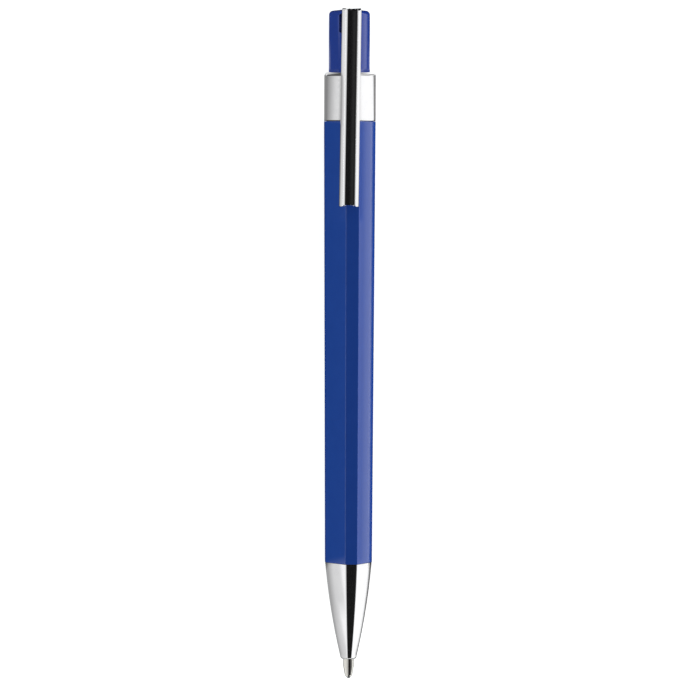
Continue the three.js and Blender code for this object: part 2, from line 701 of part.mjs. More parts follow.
const inkTop = refillTop - EMPTY_TUBE - GREASE_LENGTH;
const fillRadius = tubeBore - PRESS_GAP;
const greaseBottom = inkTop + SEAM_GAP;
const greaseTop = inkTop + GREASE_LENGTH;
const ballGeometry = new THREE.SphereGeometry(BALL_RADIUS, BALL_SIDES, BALL_SIDES / 2);
ballGeometry.translate(0, 0, BALL_RADIUS);

const alongPen = new THREE.Group();
alongPen.add(
  part('barrel', toGeometry(barrelSolid()), 0x0a409a, 0.22, 0),
  part('collar', toGeometry(collarSolid()), 0xdadada, 0.08, 1),
  part('nose_cone', toGeometry(noseConeSolid()), 0xdadada, 0.08, 1),
  part('push_button', toGeometry(buttonSolid()), 0x0a409a, 0.22, 0),
  placedClip(),
  part('plunger', toGeometry(plungerSolid()), 0xe8e6df, 0.45, 0),
  part('guide_sleeve', toGeometry(sleeveSolid()), 0xe8e6df, 0.45, 0),
  part('rotor', toGeometry(rotorSolid()), 0xd9d7cf, 0.45, 0),
  part('ink_tube', toGeometry(tubeSolid()), 0xe6e9ec, 0.3, 0),
  part('ink', toGeometry(roundBar(fillRadius, spigotTop + SEAT_GAP, inkTop)), 0x10206e, 0.2, 0),
  part('grease_plug', toGeometry(roundBar(fillRadius, greaseBottom, greaseTop)), 0xe2dcae, 0.3, 0),
  part('point_adaptor', toGeometry(adaptorSolid()), 0xf0efe9, 0.4, 0),
  part('point', toGeometry(pointSolid()), 0xc9c6bd, 0.15, 1),
  part('writing_ball', ballGeometry, 0x8c8c8e, 0.1, 1),
  part('return_spring', springGeometry(), 0xb9bcc0, 0.25, 1),
);

// Lay the pen along X with its clip up, then tilt it by the barrel's draft so the face below is level
alongPen.quaternion.setFromRotationMatrix(new THREE.Matrix4().makeBasis(
  new THREE.Vector3(0, 1, 0), new THREE.Vector3(0, 0, 1), new THREE.Vector3(1, 0, 0),
));
const pen = new THREE.Group();
pen.rotation.y = -barrelDraft;
pen.add(alongPen);

const bounds = new THREE.Box3().setFromObject(pen, true);
pen.position.set(-(bounds.min.x + bounds.max.x) / 2, -(bounds.min.y + bounds.max.y) / 2, -bounds.min.z);

export default pen;
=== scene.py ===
"""A push-button ballpoint pen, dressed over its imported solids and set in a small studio.

The pen lies on its broad rear face with the clip up. Its shapes are worked out in millimetres in
the pen's own axes: x across, y up towards the clip and s along the pen from the ball's tip.
PenAxes turns them into the row frame in metres.
"""

import json
import logging
import math
from dataclasses import dataclass, replace
from enum import Enum
from functools import lru_cache
from typing import Any, Sequence

import bmesh
import bpy
import numpy as np
from mathutils import Matrix, Vector


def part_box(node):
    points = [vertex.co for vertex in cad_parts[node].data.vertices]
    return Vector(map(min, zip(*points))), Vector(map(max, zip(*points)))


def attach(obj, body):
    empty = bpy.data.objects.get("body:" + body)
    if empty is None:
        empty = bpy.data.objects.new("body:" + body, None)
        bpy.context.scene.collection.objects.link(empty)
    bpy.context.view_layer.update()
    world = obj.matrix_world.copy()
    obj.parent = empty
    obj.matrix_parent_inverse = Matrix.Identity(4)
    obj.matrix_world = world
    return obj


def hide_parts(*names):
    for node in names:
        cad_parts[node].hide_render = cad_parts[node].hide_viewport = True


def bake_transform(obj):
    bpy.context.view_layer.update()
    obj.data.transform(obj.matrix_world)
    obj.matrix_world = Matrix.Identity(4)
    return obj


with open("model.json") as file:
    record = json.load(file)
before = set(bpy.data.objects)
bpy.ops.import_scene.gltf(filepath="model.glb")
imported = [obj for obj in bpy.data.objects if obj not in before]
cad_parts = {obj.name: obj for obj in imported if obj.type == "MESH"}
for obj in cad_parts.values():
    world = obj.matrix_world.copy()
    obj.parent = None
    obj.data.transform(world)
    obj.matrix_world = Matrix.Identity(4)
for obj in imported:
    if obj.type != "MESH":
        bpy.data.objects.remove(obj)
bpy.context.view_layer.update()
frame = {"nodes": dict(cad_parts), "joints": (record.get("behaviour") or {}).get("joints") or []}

Array = np.ndarray
Shell = tuple[Array, Array]
Pair = tuple[float, float]
Triple = tuple[float, float, float]
Sockets = tuple[tuple[str, Any], ...]
Object = bpy.types.Object
NodeTree = bpy.types.NodeTree
Material = bpy.types.Material

LOG = logging.getLogger("pen")
MM = 0.001
MICROMETRE = 1e-6
QUARTER = math.pi / 2
# Most values of a noise texture lie between these two.
NOISE_LOW = 0.3
NOISE_HIGH = 0.7
MERGE_DISTANCE = 1e-7
SHARP_ANGLE = math.radians(32)
ARC_STEPS = 6
# How far a supporting point stands inside the end of a straight leg.
SUPPORT = 0.08
BALL_RADIUS = 0.5
# The section's scale at the barrel's nose end.
NOSE_SCALE = 0.913
# Where the end of the clip's tab sits in the button, along the pen and across it.
TAB_STATION = 137.7
TAB_SHIFT = 0.42


def linear(hex_colour: str) -> tuple[float, float, float, float]:
    """Turns an sRGB hex value into the linear colour that Blender works in.

    Args:
        hex_colour: a hash sign and six digits.

    Returns:
        Red, green, blue and an alpha of 1.
    """
    channels = (int(hex_colour[i:i + 2], 16) / 255 for i in (1, 3, 5))
    values = [c / 12.92 if c <= 0.04045 else ((c + 0.055) / 1.055) ** 2.4 for c in channels]
    return (*values, 1.0)


def add_node(
    tree: NodeTree, kind: str, sockets: dict[Any, Any] | None = None, **settings: Any
) -> bpy.types.Node:
    """Adds a node with its settings, its socket values and the links into it.

    Args:
        tree: the node tree that takes the node.
        kind: the node's Blender type name.
        sockets: a value or an output socket for each input, by its name or number.
        settings: attributes of the node itself.

    Returns:
        The new node.
    """
    node = tree.nodes.new(kind)
    for name, value in settings.items():
        setattr(node, name, value)
    for key, value in (sockets or {}).items():
        if isinstance(value, bpy.types.NodeSocket):
            tree.links.new(value, node.inputs[key])
        else:
            node.inputs[key].default_value = value
    return node


def cleared_tree(owner: Any) -> NodeTree:
    """Gives a material or a world an empty node tree.

    Args:
        owner: the material or the world.

    Returns:
        Its tree.
    """
    owner.use_nodes = True
    owner.node_tree.nodes.clear()
    return owner.node_tree


def linked(name: str, data: Any) -> Object:
    """Puts a new object into the scene.

    Args:
        name: its name.
        data: its mesh, light or camera.

    Returns:
        The object, at the origin.
    """
    thing = bpy.data.objects.new(name, data)
    bpy.context.scene.collection.objects.link(thing)
    return thing


@dataclass(frozen=True)
class PenAxes:
    """The pen's own axes in the row frame: the ball's tip in metres and three unit vectors."""

    tip: Array
    across: Array
    up: Array
    along: Array

    @classmethod
    def from_frame(cls) -> "PenAxes":
        """Reads the axes from the writing ball's box and the push button's slide.

        Returns:
            The axes.
        """
        low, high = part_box("writing_ball")
        slide = next(joint for joint in frame["joints"] if joint["name"] == "button_slide")
        along = np.array(slide["axis"], float)
        along /= np.linalg.norm(along)
        across = np.array([0.0, 1.0, 0.0])
        tip = np.array((low + high) / 2) - along * BALL_RADIUS * MM
        return cls(tip, across, np.cross(along, across), along)

    def place(self, points: Array) -> Array:
        """Points (..., 3) given as x, y, s in millimetres, in the row frame in metres."""
        return self.tip + MM * (points @ np.stack([self.across, self.up, self.along]))


AXES = PenAxes.from_frame()


class Ends(Enum):
    """How a solid skinned over rings is closed."""

    LOOP = "the last ring joins the first"
    POLES = "each end ring is drawn in to its middle"


def skinned(rings: Array, ends: Ends) -> Shell:
    """Makes a closed shell over rings of equal count.

    Vertex (i, j) is point j of ring i, and each face joins (i, j), (i, j+1), (i+1, j+1) and
    (i+1, j). Where the ends are poles, a ring drawn in to its mean is added at each end.

    Args:
        rings: an array (rings, points, 3) in the pen's axes.
        ends: how the first and the last ring are closed.

    Returns:
        The vertices (n, 3) and the faces (m, 4).
    """
    if ends is Ends.POLES:
        poles = [np.broadcast_to(end.mean(1, keepdims=True), end.shape) for end in (rings[:1], rings[-1:])]
        rings = np.concatenate([poles[0], rings, poles[1]])
    rows, columns = rings.shape[:2]
    index = np.arange(rows * columns).reshape(rows, columns)
    rolled = np.roll(index, -1, 0)
    low, high = (index, rolled) if ends is Ends.LOOP else (index[:-1], rolled[:-1])
    faces = np.stack([low, np.roll(low, -1, 1), np.roll(high, -1, 1), high], -1).reshape(-1, 4)
    return rings.reshape(-1, 3), faces


def smooth(piece: Object) -> None:
    """Shades a piece smooth, with a break at each edge sharper than SHARP_ANGLE."""
    piece.data.shade_smooth()
    piece.data.set_sharp_from_angle(angle=SHARP_ANGLE)


def solid(name: str, shells: Sequence[Shell]) -> Object:
    """Makes one object from closed shells, with its doubles merged and its faces turned outwards.

    Args:
        name: the piece's name.
        shells: vertices in the pen's axes and faces of each shell.

    Returns:
        The object, at the origin, with smooth shading that breaks at sharp edges.
    """
    counts = np.cumsum([0] + [len(vertices) for vertices, _ in shells])
    vertices = AXES.place(np.concatenate([vertices for vertices, _ in shells]))
    faces = np.concatenate([faces + offset for (_, faces), offset in zip(shells, counts)])
    mesh = bpy.data.meshes.new(name)
    mesh.vertices.add(len(vertices))
    mesh.vertices.foreach_set("co", vertices.astype(np.float32).ravel())
    mesh.loops.add(faces.size)
    mesh.loops.foreach_set("vertex_index", faces.astype(np.int32).ravel())
    mesh.polygons.add(len(faces))
    mesh.polygons.foreach_set("loop_start", np.arange(0, faces.size, 4, dtype=np.int32))
    mesh.update(calc_edges=True)
    clean = bmesh.new()
    clean.from_mesh(mesh)
    bmesh.ops.remove_doubles(clean, verts=clean.verts, dist=MERGE_DISTANCE)
    bmesh.ops.recalc_face_normals(clean, faces=clean.faces)
    clean.to_mesh(mesh)
    clean.free()
    piece = linked(name, mesh)
    smooth(piece)
    return piece


def tangents(path: Array) -> Array:
    """Unit vectors along a path, from each point's neighbours: (next - previous) / its length."""
    along = np.gradient(path, axis=0)
    return along / np.linalg.norm(along, axis=1, keepdims=True)


def refined(path: Array, step: float) -> Array:
    """Adds points on a path's long legs.

    Args:
        path: the path's points (n, 2).
        step: the new points' spacing along the path's length.

    Returns:
        The old and the new points, in order.
    """
    along = np.concatenate([[0], np.cumsum(np.linalg.norm(np.diff(path, axis=0), axis=1))])
    places = np.unique(np.concatenate([along, np.arange(0, along[-1], step)]).round(6))
    return np.stack([np.interp(places, along, path[:, i]) for i in range(2)], 1)


def supports(start: Array, end: Array) -> Array:
    """Points just inside both ends of a straight leg, which keep its shading flat.

    Args:
        start: the leg's first point.
        end: its last point.

    Returns:
        Two points, or none on a short leg.
    """
    length = float(np.linalg.norm(end - start))
    if length < 4 * SUPPORT:
        return np.empty((0, 2))
    share = np.array([SUPPORT / length, 1 - SUPPORT / length])[:, None]
    return start + (end - start) * share


def filleted(corners: Sequence[Triple], steps: int = ARC_STEPS) -> Array:
    """Carries a path through corners, each rounded by its own radius.

    A corner that turns by an angle t is left and met r * tan(t / 2) away from its point. Between
    them lie the points start + r * (sin(a) * incoming + (1 - cos(a)) * inward) for a from 0 to t.

    Args:
        corners: first coordinate, second coordinate and fillet radius of each corner.
        steps: steps in each fillet.

    Returns:
        The path's points (n, 2).
    """
    points = np.array([corner[:2] for corner in corners], float)
    legs = np.diff(points, axis=0)
    legs /= np.linalg.norm(legs, axis=1, keepdims=True)
    arcs = [points[:1]]
    for point, incoming, outgoing, (_, _, radius) in zip(points[1:], legs, legs[1:], corners[1:]):
        if radius == 0:
            arcs.append(point[None])
            continue
        cross = incoming[0] * outgoing[1] - incoming[1] * outgoing[0]
        turn = math.atan2(abs(cross), float(incoming @ outgoing))
        inward = np.array([-incoming[1], incoming[0]]) * math.copysign(1, cross)
        angle = np.linspace(0, turn, steps + 1)[:, None]
        start = point - incoming * radius * math.tan(turn / 2)
        arcs.append(start + radius * (np.sin(angle) * incoming + (1 - np.cos(angle)) * inward))
    arcs.append(points[-1:])
    path = [arcs[0]]
    for before, after in zip(arcs, arcs[1:]):
        path += [supports(before[-1], after[0]), after]
    return np.concatenate(path)


def at_stations(rings: Array, stations: Array) -> Array:
    """Rings (rings, points, 2) in x and y as points x, y, s, each ring at its station."""
    return np.concatenate([rings, np.broadcast_to(stations[:, None, None], (*rings.shape[:2], 1))], -1)


def turned(path: Array, sides: int = 64) -> Array:
    """Rings turned about the pen's axis along a path of (station, radius)."""
    angle = np.linspace(0, 2 * math.pi, sides, endpoint=False)
    return at_stations(path[:, 1, None, None] * np.stack([np.cos(angle), np.sin(angle)], 1), path[:, 0])


@dataclass(frozen=True)
class PenSection:
    """The rounded triangle that barrel, collar, cone and button share, with a flat under the clip."""

    face_distance: float = 4.52
    corner_radius: float = 3.29
    flat_width: float = 2.76
    edge_radius: float = 0.35
    edge_steps: int = 8
    corner_steps: int = 24
    flat_shares: tuple[float, ...] = (0.03, 0.25, 0.5, 0.75, 0.97)

    @property
    def flat_distance(self) -> float:
        """Distance from the axis to the flat, where the two front faces would meet less its depth."""
        return 2 * self.face_distance - self.flat_width * math.sqrt(3) / 2

    def rings(self, scale: Array, inset: Array) -> Array:
        """Works out rings of the section.

        A face lies at its own distance times the scale, less the inset. Each corner is an arc
        about the point that lies the arc's radius inside both faces, and straight stretches with
        a few points each join the arcs.

        Args:
            scale: the section's scale on each ring.
            inset: how far each ring is drawn in, in millimetres.

        Returns:
            The points (rings, points, 2) as x and y.
        """
        scale, inset = scale[:, None], inset[:, None]
        face = self.face_distance * scale - inset
        flat = self.flat_distance * scale - inset
        edge = self.edge_radius * scale
        corner = np.maximum(self.corner_radius * scale - inset, edge)
        third = math.pi / 3
        corners = (
            (0.0, flat, third, face, edge, self.edge_steps),
            (third, face, 3 * third, face, corner, self.corner_steps),
            (3 * third, face, 5 * third, face, corner, self.corner_steps),
            (5 * third, face, 6 * third, flat, edge, self.edge_steps),
        )
        arcs = []
        for a, distance_a, b, distance_b, radius, steps in corners:
            angle = np.linspace(a, b, steps + 1)[None]
            inner_a, inner_b, sine = distance_a - radius, distance_b - radius, math.sin(b - a)
            x = (inner_a * math.cos(b) - inner_b * math.cos(a)) / sine - radius * np.sin(angle)
            y = (inner_a * math.sin(b) - inner_b * math.sin(a)) / sine + radius * np.cos(angle)
            arcs.append(np.stack([x, y], -1))
        share = np.array(self.flat_shares)[None, :, None]
        ring = []
        for arc, following in zip(arcs, arcs[1:] + arcs[:1]):
            ring += [arc, arc[:, -1:] + (following[:, :1] - arc[:, -1:]) * share]
        return np.concatenate(ring, 1)

    def skin(self, path: Array, scale: Array) -> Array:
        """Rings along a path of (station, inset), each at its scale, as points x, y, s."""
        return at_stations(self.rings(scale, path[:, 1]), path[:, 0])

    def bore(self, path: Array) -> Array:
        """Makes round rings in step with the section's own points: radius * (point / its length).

        Args:
            path: station and radius of each ring.

        Returns:
            The points (rings, points, 3) as x, y, s.
        """
        ring = self.rings(np.ones(1), np.zeros(1))
        ring /= np.linalg.norm(ring, axis=-1, keepdims=True)
        return at_stations(path[:, 1, None, None] * ring, path[:, 0])


@dataclass(frozen=True)
class Pattern:
    """Noise at a real size: its grain's width in millimetres, its stretch and its finer octaves.

    The stretch holds a factor on the noise's frequency along X, Y and Z, so a small one draws
    the grain out along that axis.
    """

    width: float
    stretch: Triple = (1, 1, 1)
    detail: float = 2.0


@dataclass(frozen=True)
class Surface:
    """What a way of making leaves on a surface, in three patterns and the shader's other values.

    The colour drifts towards a second one over the first pattern, the roughness varies within a
    range over the second, and the third is the relief, with a depth in micrometres.
    """

    drift: Pattern
    drift_share: float
    wear: Pattern
    wear_range: Pair
    relief: Pattern
    relief_depth: float
    sockets: Sockets = (("Metallic", 1.0),)


@dataclass(frozen=True)
class Finish:
    """A surface finish, made once and shared by the pieces that have it."""

    name: str
    colour: str
    roughness: float
    second: str
    surface: Surface

    @lru_cache(maxsize=None)
    def material(self) -> Material:
        """Makes the material, whose three patterns feed the shader's colour, roughness and normal.

        Returns:
            The material, named for the finish.
        """
        surface = self.surface
        material = bpy.data.materials.new(self.name)
        material.use_nodes = True
        material.diffuse_color = linear(self.colour)
        tree = material.node_tree
        shader = tree.nodes["Principled BSDF"]
        for socket, value in surface.sockets:
            shader.inputs[socket].default_value = value
        place = add_node(tree, "ShaderNodeTexCoord").outputs["Object"]
        noises = []
        for pattern in (surface.drift, surface.wear, surface.relief):
            mapped = add_node(tree, "ShaderNodeMapping", {"Vector": place, "Scale": pattern.stretch})
            noise = add_node(tree, "ShaderNodeTexNoise", {
                "Vector": mapped.outputs["Vector"], "Scale": 1 / (pattern.width * MM),
                "Detail": pattern.detail,
            })
            noises.append(noise.outputs["Fac"])
        ranges = ((0, surface.drift_share), [self.roughness + change for change in surface.wear_range])
        drifts, rough = (
            add_node(tree, "ShaderNodeMapRange", {
                "Value": noise, "From Min": NOISE_LOW, "From Max": NOISE_HIGH,
                "To Min": low, "To Max": high,
            }).outputs["Result"]
            for noise, (low, high) in zip(noises, ranges)
        )
        mix = add_node(tree, "ShaderNodeMix", {
            0: drifts, 6: linear(self.colour), 7: linear(self.second),
        }, data_type="RGBA")
        bump = add_node(tree, "ShaderNodeBump", {
            "Height": noises[2], "Distance": surface.relief_depth * MICROMETRE,
        })
        tree.links.new(mix.outputs[2], shader.inputs["Base Color"])
        tree.links.new(rough, shader.inputs["Roughness"])
        tree.links.new(bump.outputs["Normal"], shader.inputs["Normal"])
        return material


# Real hairlines are some micrometres wide; they are drawn coarser, so that a close view has them.
HAIRLINES = Pattern(0.12, (0.04, 1, 1), 3.0)
# The polishing lines run around the pen. Real ones are finer than any view could show.
POLISHING_LINES = Pattern(0.1, (1, 0.05, 0.05))
# Rolling lines under the plate, drawn several times their real width.
ROLLING_LINES = Pattern(0.08, (0.03, 1, 1))
# The rings, lines and pits of the next four are drawn coarser too, for the same reason.
LATHE_RINGS = Pattern(0.05, (1, 0.02, 0.02))
DIE_LINES = Pattern(0.04, detail=3.0)
SPARK_PITS = Pattern(0.06, detail=3.0)
DRAW_LINES = Pattern(0.1, (0.02, 1, 1))
STREAKS = Pattern(0.5, (0.15, 1, 1))

# Glossy ABS from a polished mould: a faint orange peel and hairline handling marks.
MOULDED_ABS = Surface(
    drift=Pattern(3.5), drift_share=0.35, wear=HAIRLINES, wear_range=(-0.03, 0.05),
    relief=Pattern(0.9), relief_depth=1.2, sockets=(("IOR", 1.53),),
)
# Bright chromium over a polished casting: a mirror with a slight waver and faint polishing lines.
PLATED_CASTING = Surface(
    drift=Pattern(2.0), drift_share=0.5, wear=POLISHING_LINES, wear_range=(-0.02, 0.05),
    relief=Pattern(2.5), relief_depth=1.0,
)
# Chromium over pressed steel strip: a mirror whose rolling lines run along the clip.
PLATED_STRIP = Surface(
    drift=Pattern(1.5, (0.2, 1, 1)), drift_share=0.5, wear=ROLLING_LINES, wear_range=(-0.02, 0.05),
    relief=ROLLING_LINES, relief_depth=0.25,
)
# Metal off a lathe: fine rings around the pen's axis that spread the light along it.
TURNED_METAL = Surface(
    drift=LATHE_RINGS, drift_share=0.5, wear=LATHE_RINGS, wear_range=(-0.05, 0.08),
    relief=LATHE_RINGS, relief_depth=0.5,
)
# A lapped ball has almost none of them left.
LAPPED_METAL = replace(TURNED_METAL, drift=Pattern(0.03), drift_share=0.4, relief_depth=0.1)
# Hard-drawn spring wire: bright steel with die lines and a trace of straw colour.
DRAWN_WIRE = Surface(
    drift=Pattern(1.2), drift_share=0.6, wear=DIE_LINES, wear_range=(-0.06, 0.1),
    relief=DIE_LINES, relief_depth=0.4,
)
# Acetal from a spark-eroded mould: waxy, slightly see-through at its edges, and matt.
MOULDED_ACETAL = Surface(
    drift=Pattern(1.8), drift_share=0.6, wear=SPARK_PITS, wear_range=(-0.06, 0.08),
    relief=SPARK_PITS, relief_depth=2.0, sockets=(
        ("IOR", 1.48), ("Subsurface Weight", 0.15), ("Subsurface Radius", (0.0006, 0.0005, 0.0004)),
    ),
)
# Clear polypropylene tube: a little milky, with faint draw lines along its length.
EXTRUDED_TUBE = Surface(
    drift=Pattern(2.5), drift_share=0.5, wear=DRAW_LINES, wear_range=(-0.05, 0.1),
    relief=DRAW_LINES, relief_depth=0.6, sockets=(("IOR", 1.49), ("Transmission Weight", 0.85)),
)
# A stiff paste or gel held in the tube: wet, with slow streaks along it.
THICK_PASTE = Surface(
    drift=STREAKS, drift_share=0.8, wear=STREAKS, wear_range=(-0.05, 0.1),
    relief=STREAKS, relief_depth=3.0, sockets=(("IOR", 1.47),),
)
THICK_GEL = replace(THICK_PASTE, sockets=(("IOR", 1.47), ("Transmission Weight", 0.5)))

# Deep blue plastic that turns paler where it mirrors the white room. The button's copy is a shade
# darker and more violet than the barrel's.
BLUE_ABS = Finish("moulded_blue_abs", "#22469b", 0.08, "#1d4093", MOULDED_ABS)
BUTTON_ABS = Finish("moulded_violet_blue_abs", "#223c93", 0.08, "#1d3689", MOULDED_ABS)
# Near-colourless mirrors: the eye sees the painted reflections in them, dark overhead,
# grey on one side and white on the other.
CHROMIUM = Finish("bright_chromium_plate", "#f6f6f7", 0.05, "#efeff1", PLATED_CASTING)
CLIP_CHROME = Finish("chromed_steel_strip", "#f6f6f7", 0.05, "#ececee", PLATED_STRIP)
# A bright, slightly warm metal with fine rings, softer in its mirror than the chrome beside it.
NICKEL_SILVER = Finish("turned_nickel_silver", "#eae8e2", 0.12, "#d2cfc6", TURNED_METAL)
# A dark grey bead with a small bright glint.
CARBIDE = Finish("lapped_tungsten_carbide", "#8f8f92", 0.12, "#7b7b80", LAPPED_METAL)
# Bright grey wire, slightly yellow in places.
SPRING_WIRE = Finish("hard_drawn_spring_wire", "#c3c4c6", 0.25, "#b5a98f", DRAWN_WIRE)
# Milky off-white plastic without a gloss, and a grey one, so that the rotor shows against the sleeve.
ACETAL = Finish("moulded_white_acetal", "#ece9e0", 0.42, "#d9d6cc", MOULDED_ACETAL)
ROTOR_ACETAL = Finish("moulded_grey_acetal", "#cfcdc6", 0.4, "#bcbab2", MOULDED_ACETAL)
# A clear tube with a cold white cast.
TUBE = Finish("extruded_clear_polypropylene", "#e9edf0", 0.18, "#d5dade", EXTRUDED_TUBE)
# Ink so dense that it looks almost black with blue lights.
INK = Finish("blue_ballpoint_paste", "#0b1550", 0.15, "#16235c", THICK_PASTE)
# Pale yellow gel that lets some light through.
GREASE = Finish("clear_follower_grease", "#e6dfb6", 0.2, "#d8cf9c", THICK_GEL)


def dress(piece: Object, finish: Finish, node: str, body: str | None) -> Object:
    """Gives a new piece its finish and lets it stand for its solid.

    Args:
        piece: the finished piece.
        finish: its surface finish.
        node: the CAD node that it replaces.
        body: the CAD body that it rides on, or None for a piece that spans two bodies and is left on none.

    Returns:
        The piece.
    """
    piece.data.materials.append(finish.material())
    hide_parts(node)
    if body is not None:
        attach(piece, body)
    LOG.info("%s: %d faces, %s", piece.name, len(piece.data.polygons), finish.name)
    return piece


@dataclass
class Barrel:
    """The moulded barrel: drafted outside, a neck for the collar, and bores for cone and mechanism."""

    section: PenSection = PenSection(edge_radius=0.2)
    front: float = 24.4
    front_inset: float = 0.6
    shoulder: float = 117.0
    neck_top: float = 126.6
    neck_inset: float = 0.5
    neck_wall: float = 0.4
    well_floor: float = 118.6
    sleeve_floor: float = 103.2
    sleeve_radius: float = 3.4
    bore_radius: float = 3.05
    edge: float = 0.1

    def scale(self, stations: Array) -> Array:
        """The section's scale, which grows evenly from the nose to the shoulder."""
        return np.interp(stations, (self.front, self.shoulder), (NOSE_SCALE, 1.0))

    def build(self) -> Object:
        """Skins the outside and the well with the pen's section and the bores with circles.

        Returns:
            The barrel.
        """
        well = self.neck_inset + self.neck_wall
        outside = filleted((
            (self.front, self.front_inset, 0), (self.front, 0, self.edge), (self.shoulder, 0, self.edge),
            (self.shoulder, self.neck_inset, 0), (self.neck_top, self.neck_inset, self.edge),
            (self.neck_top, well, self.edge), (self.well_floor, well, 0),
        ))
        inside = np.array((
            (self.well_floor, self.sleeve_radius), (self.sleeve_floor, self.sleeve_radius),
            (self.sleeve_floor, self.bore_radius), (self.front, self.bore_radius),
        ))
        rings = [self.section.skin(outside, self.scale(outside[:, 0])), self.section.bore(inside)]
        return solid("barrel_moulding", [skinned(np.concatenate(rings), Ends.LOOP)])

    def dress(self) -> None:
        """Builds and dresses the barrel."""
        dress(self.build(), BLUE_ABS, "barrel", "barrel")


@dataclass
class Collar:
    """The plated ring over the barrel's neck, with a rounded shoulder around the push button."""

    section: PenSection = PenSection()
    front: float = 117.05
    back: float = 127.3
    shoulder_radius: float = 0.9
    seat_inset: float = 0.45
    seat_top: float = 126.65
    opening_inset: float = 0.92
    edge: float = 0.12
    fillet_steps: int = 10

    def build(self) -> Object:
        """Skins the ring's whole wall, inside and out.

        Returns:
            The ring.
        """
        path = filleted((
            (self.front, self.seat_inset, 0), (self.front, 0, self.edge),
            (self.back, 0, self.shoulder_radius), (self.back, self.opening_inset, 0),
            (self.seat_top, self.opening_inset, 0), (self.seat_top, self.seat_inset, 0),
        ), self.fillet_steps)
        return solid("collar_ring", [skinned(self.section.skin(path, np.ones(len(path))), Ends.LOOP)])

    def dress(self) -> None:
        """Builds and dresses the collar."""
        dress(self.build(), CHROMIUM, "collar", "barrel")


@dataclass
class NoseCone:
    """The plated ogive: its section shrinks along a curve to the hole that the point comes through."""

    section: PenSection = PenSection(edge_radius=0.5)
    front: float = 4.1
    back: float = 24.35
    seam_step: float = 0.05
    tip_scale: float = 0.318
    middle_scale: float = 0.745
    lip: float = 0.52
    lip_steps: int = 10
    guide_radius: float = 1.22
    mouth_radius: float = 1.27
    room_start: float = 9.5
    room_radius: float = 1.6
    ledge: float = 14.6
    chamber_radius: float = 2.35
    spigot_back: float = 31.4
    spigot_radius: float = 3.0
    spigot_edge: float = 0.25
    chamber_edge: float = 0.1
    rows: int = 40

    def curve(self, share: Array) -> Array:
        """The section's scale: (1-t)^2 * tip + 2t(1-t) * middle + t^2 * last."""
        last = NOSE_SCALE - self.seam_step / self.section.face_distance
        return ((1 - share) ** 2 * self.tip_scale + 2 * share * (1 - share) * self.middle_scale
                + share ** 2 * last)

    def build(self) -> Object:
        """Skins the rounded lip, the ogive to its back, the spigot and the stepped bore.

        Over the lip, each ring is circle * (1 - sin a) + section * sin a at the station
        front + lip * (1 - cos a), for a from 0 to a quarter turn.

        Returns:
            The cone.
        """
        quarter = np.linspace(0, QUARTER, self.lip_steps + 1)[:-1]
        lip_path = np.stack([self.front + self.lip * (1 - np.cos(quarter)), np.zeros(len(quarter))], 1)
        section = self.section.skin(lip_path, np.full(len(quarter), self.tip_scale))
        lip_path[:, 1] = self.mouth_radius
        circle = self.section.bore(lip_path)
        lip = circle + (section - circle) * np.sin(quarter)[:, None, None]
        share = np.linspace(0, 1, self.rows)
        start = self.front + self.lip
        path = np.stack([start + (self.back - start) * share, np.zeros(self.rows)], 1)
        bore = filleted((
            (self.back, self.spigot_radius, 0), (self.spigot_back, self.spigot_radius, self.spigot_edge),
            (self.spigot_back, self.chamber_radius, self.chamber_edge),
            (self.ledge, self.chamber_radius, 0), (self.ledge, self.room_radius, 0),
            (self.room_start, self.room_radius, 0),
            (self.room_start, self.guide_radius, 0), (self.front, self.guide_radius, 0),
        ))
        rings = [lip, self.section.skin(path, self.curve(share)), self.section.bore(bore)]
        return solid("nose_ogive", [skinned(np.concatenate(rings), Ends.LOOP)])

    def dress(self) -> None:
        """Builds and dresses the cone."""
        dress(self.build(), CHROMIUM, "nose_cone", "nose")


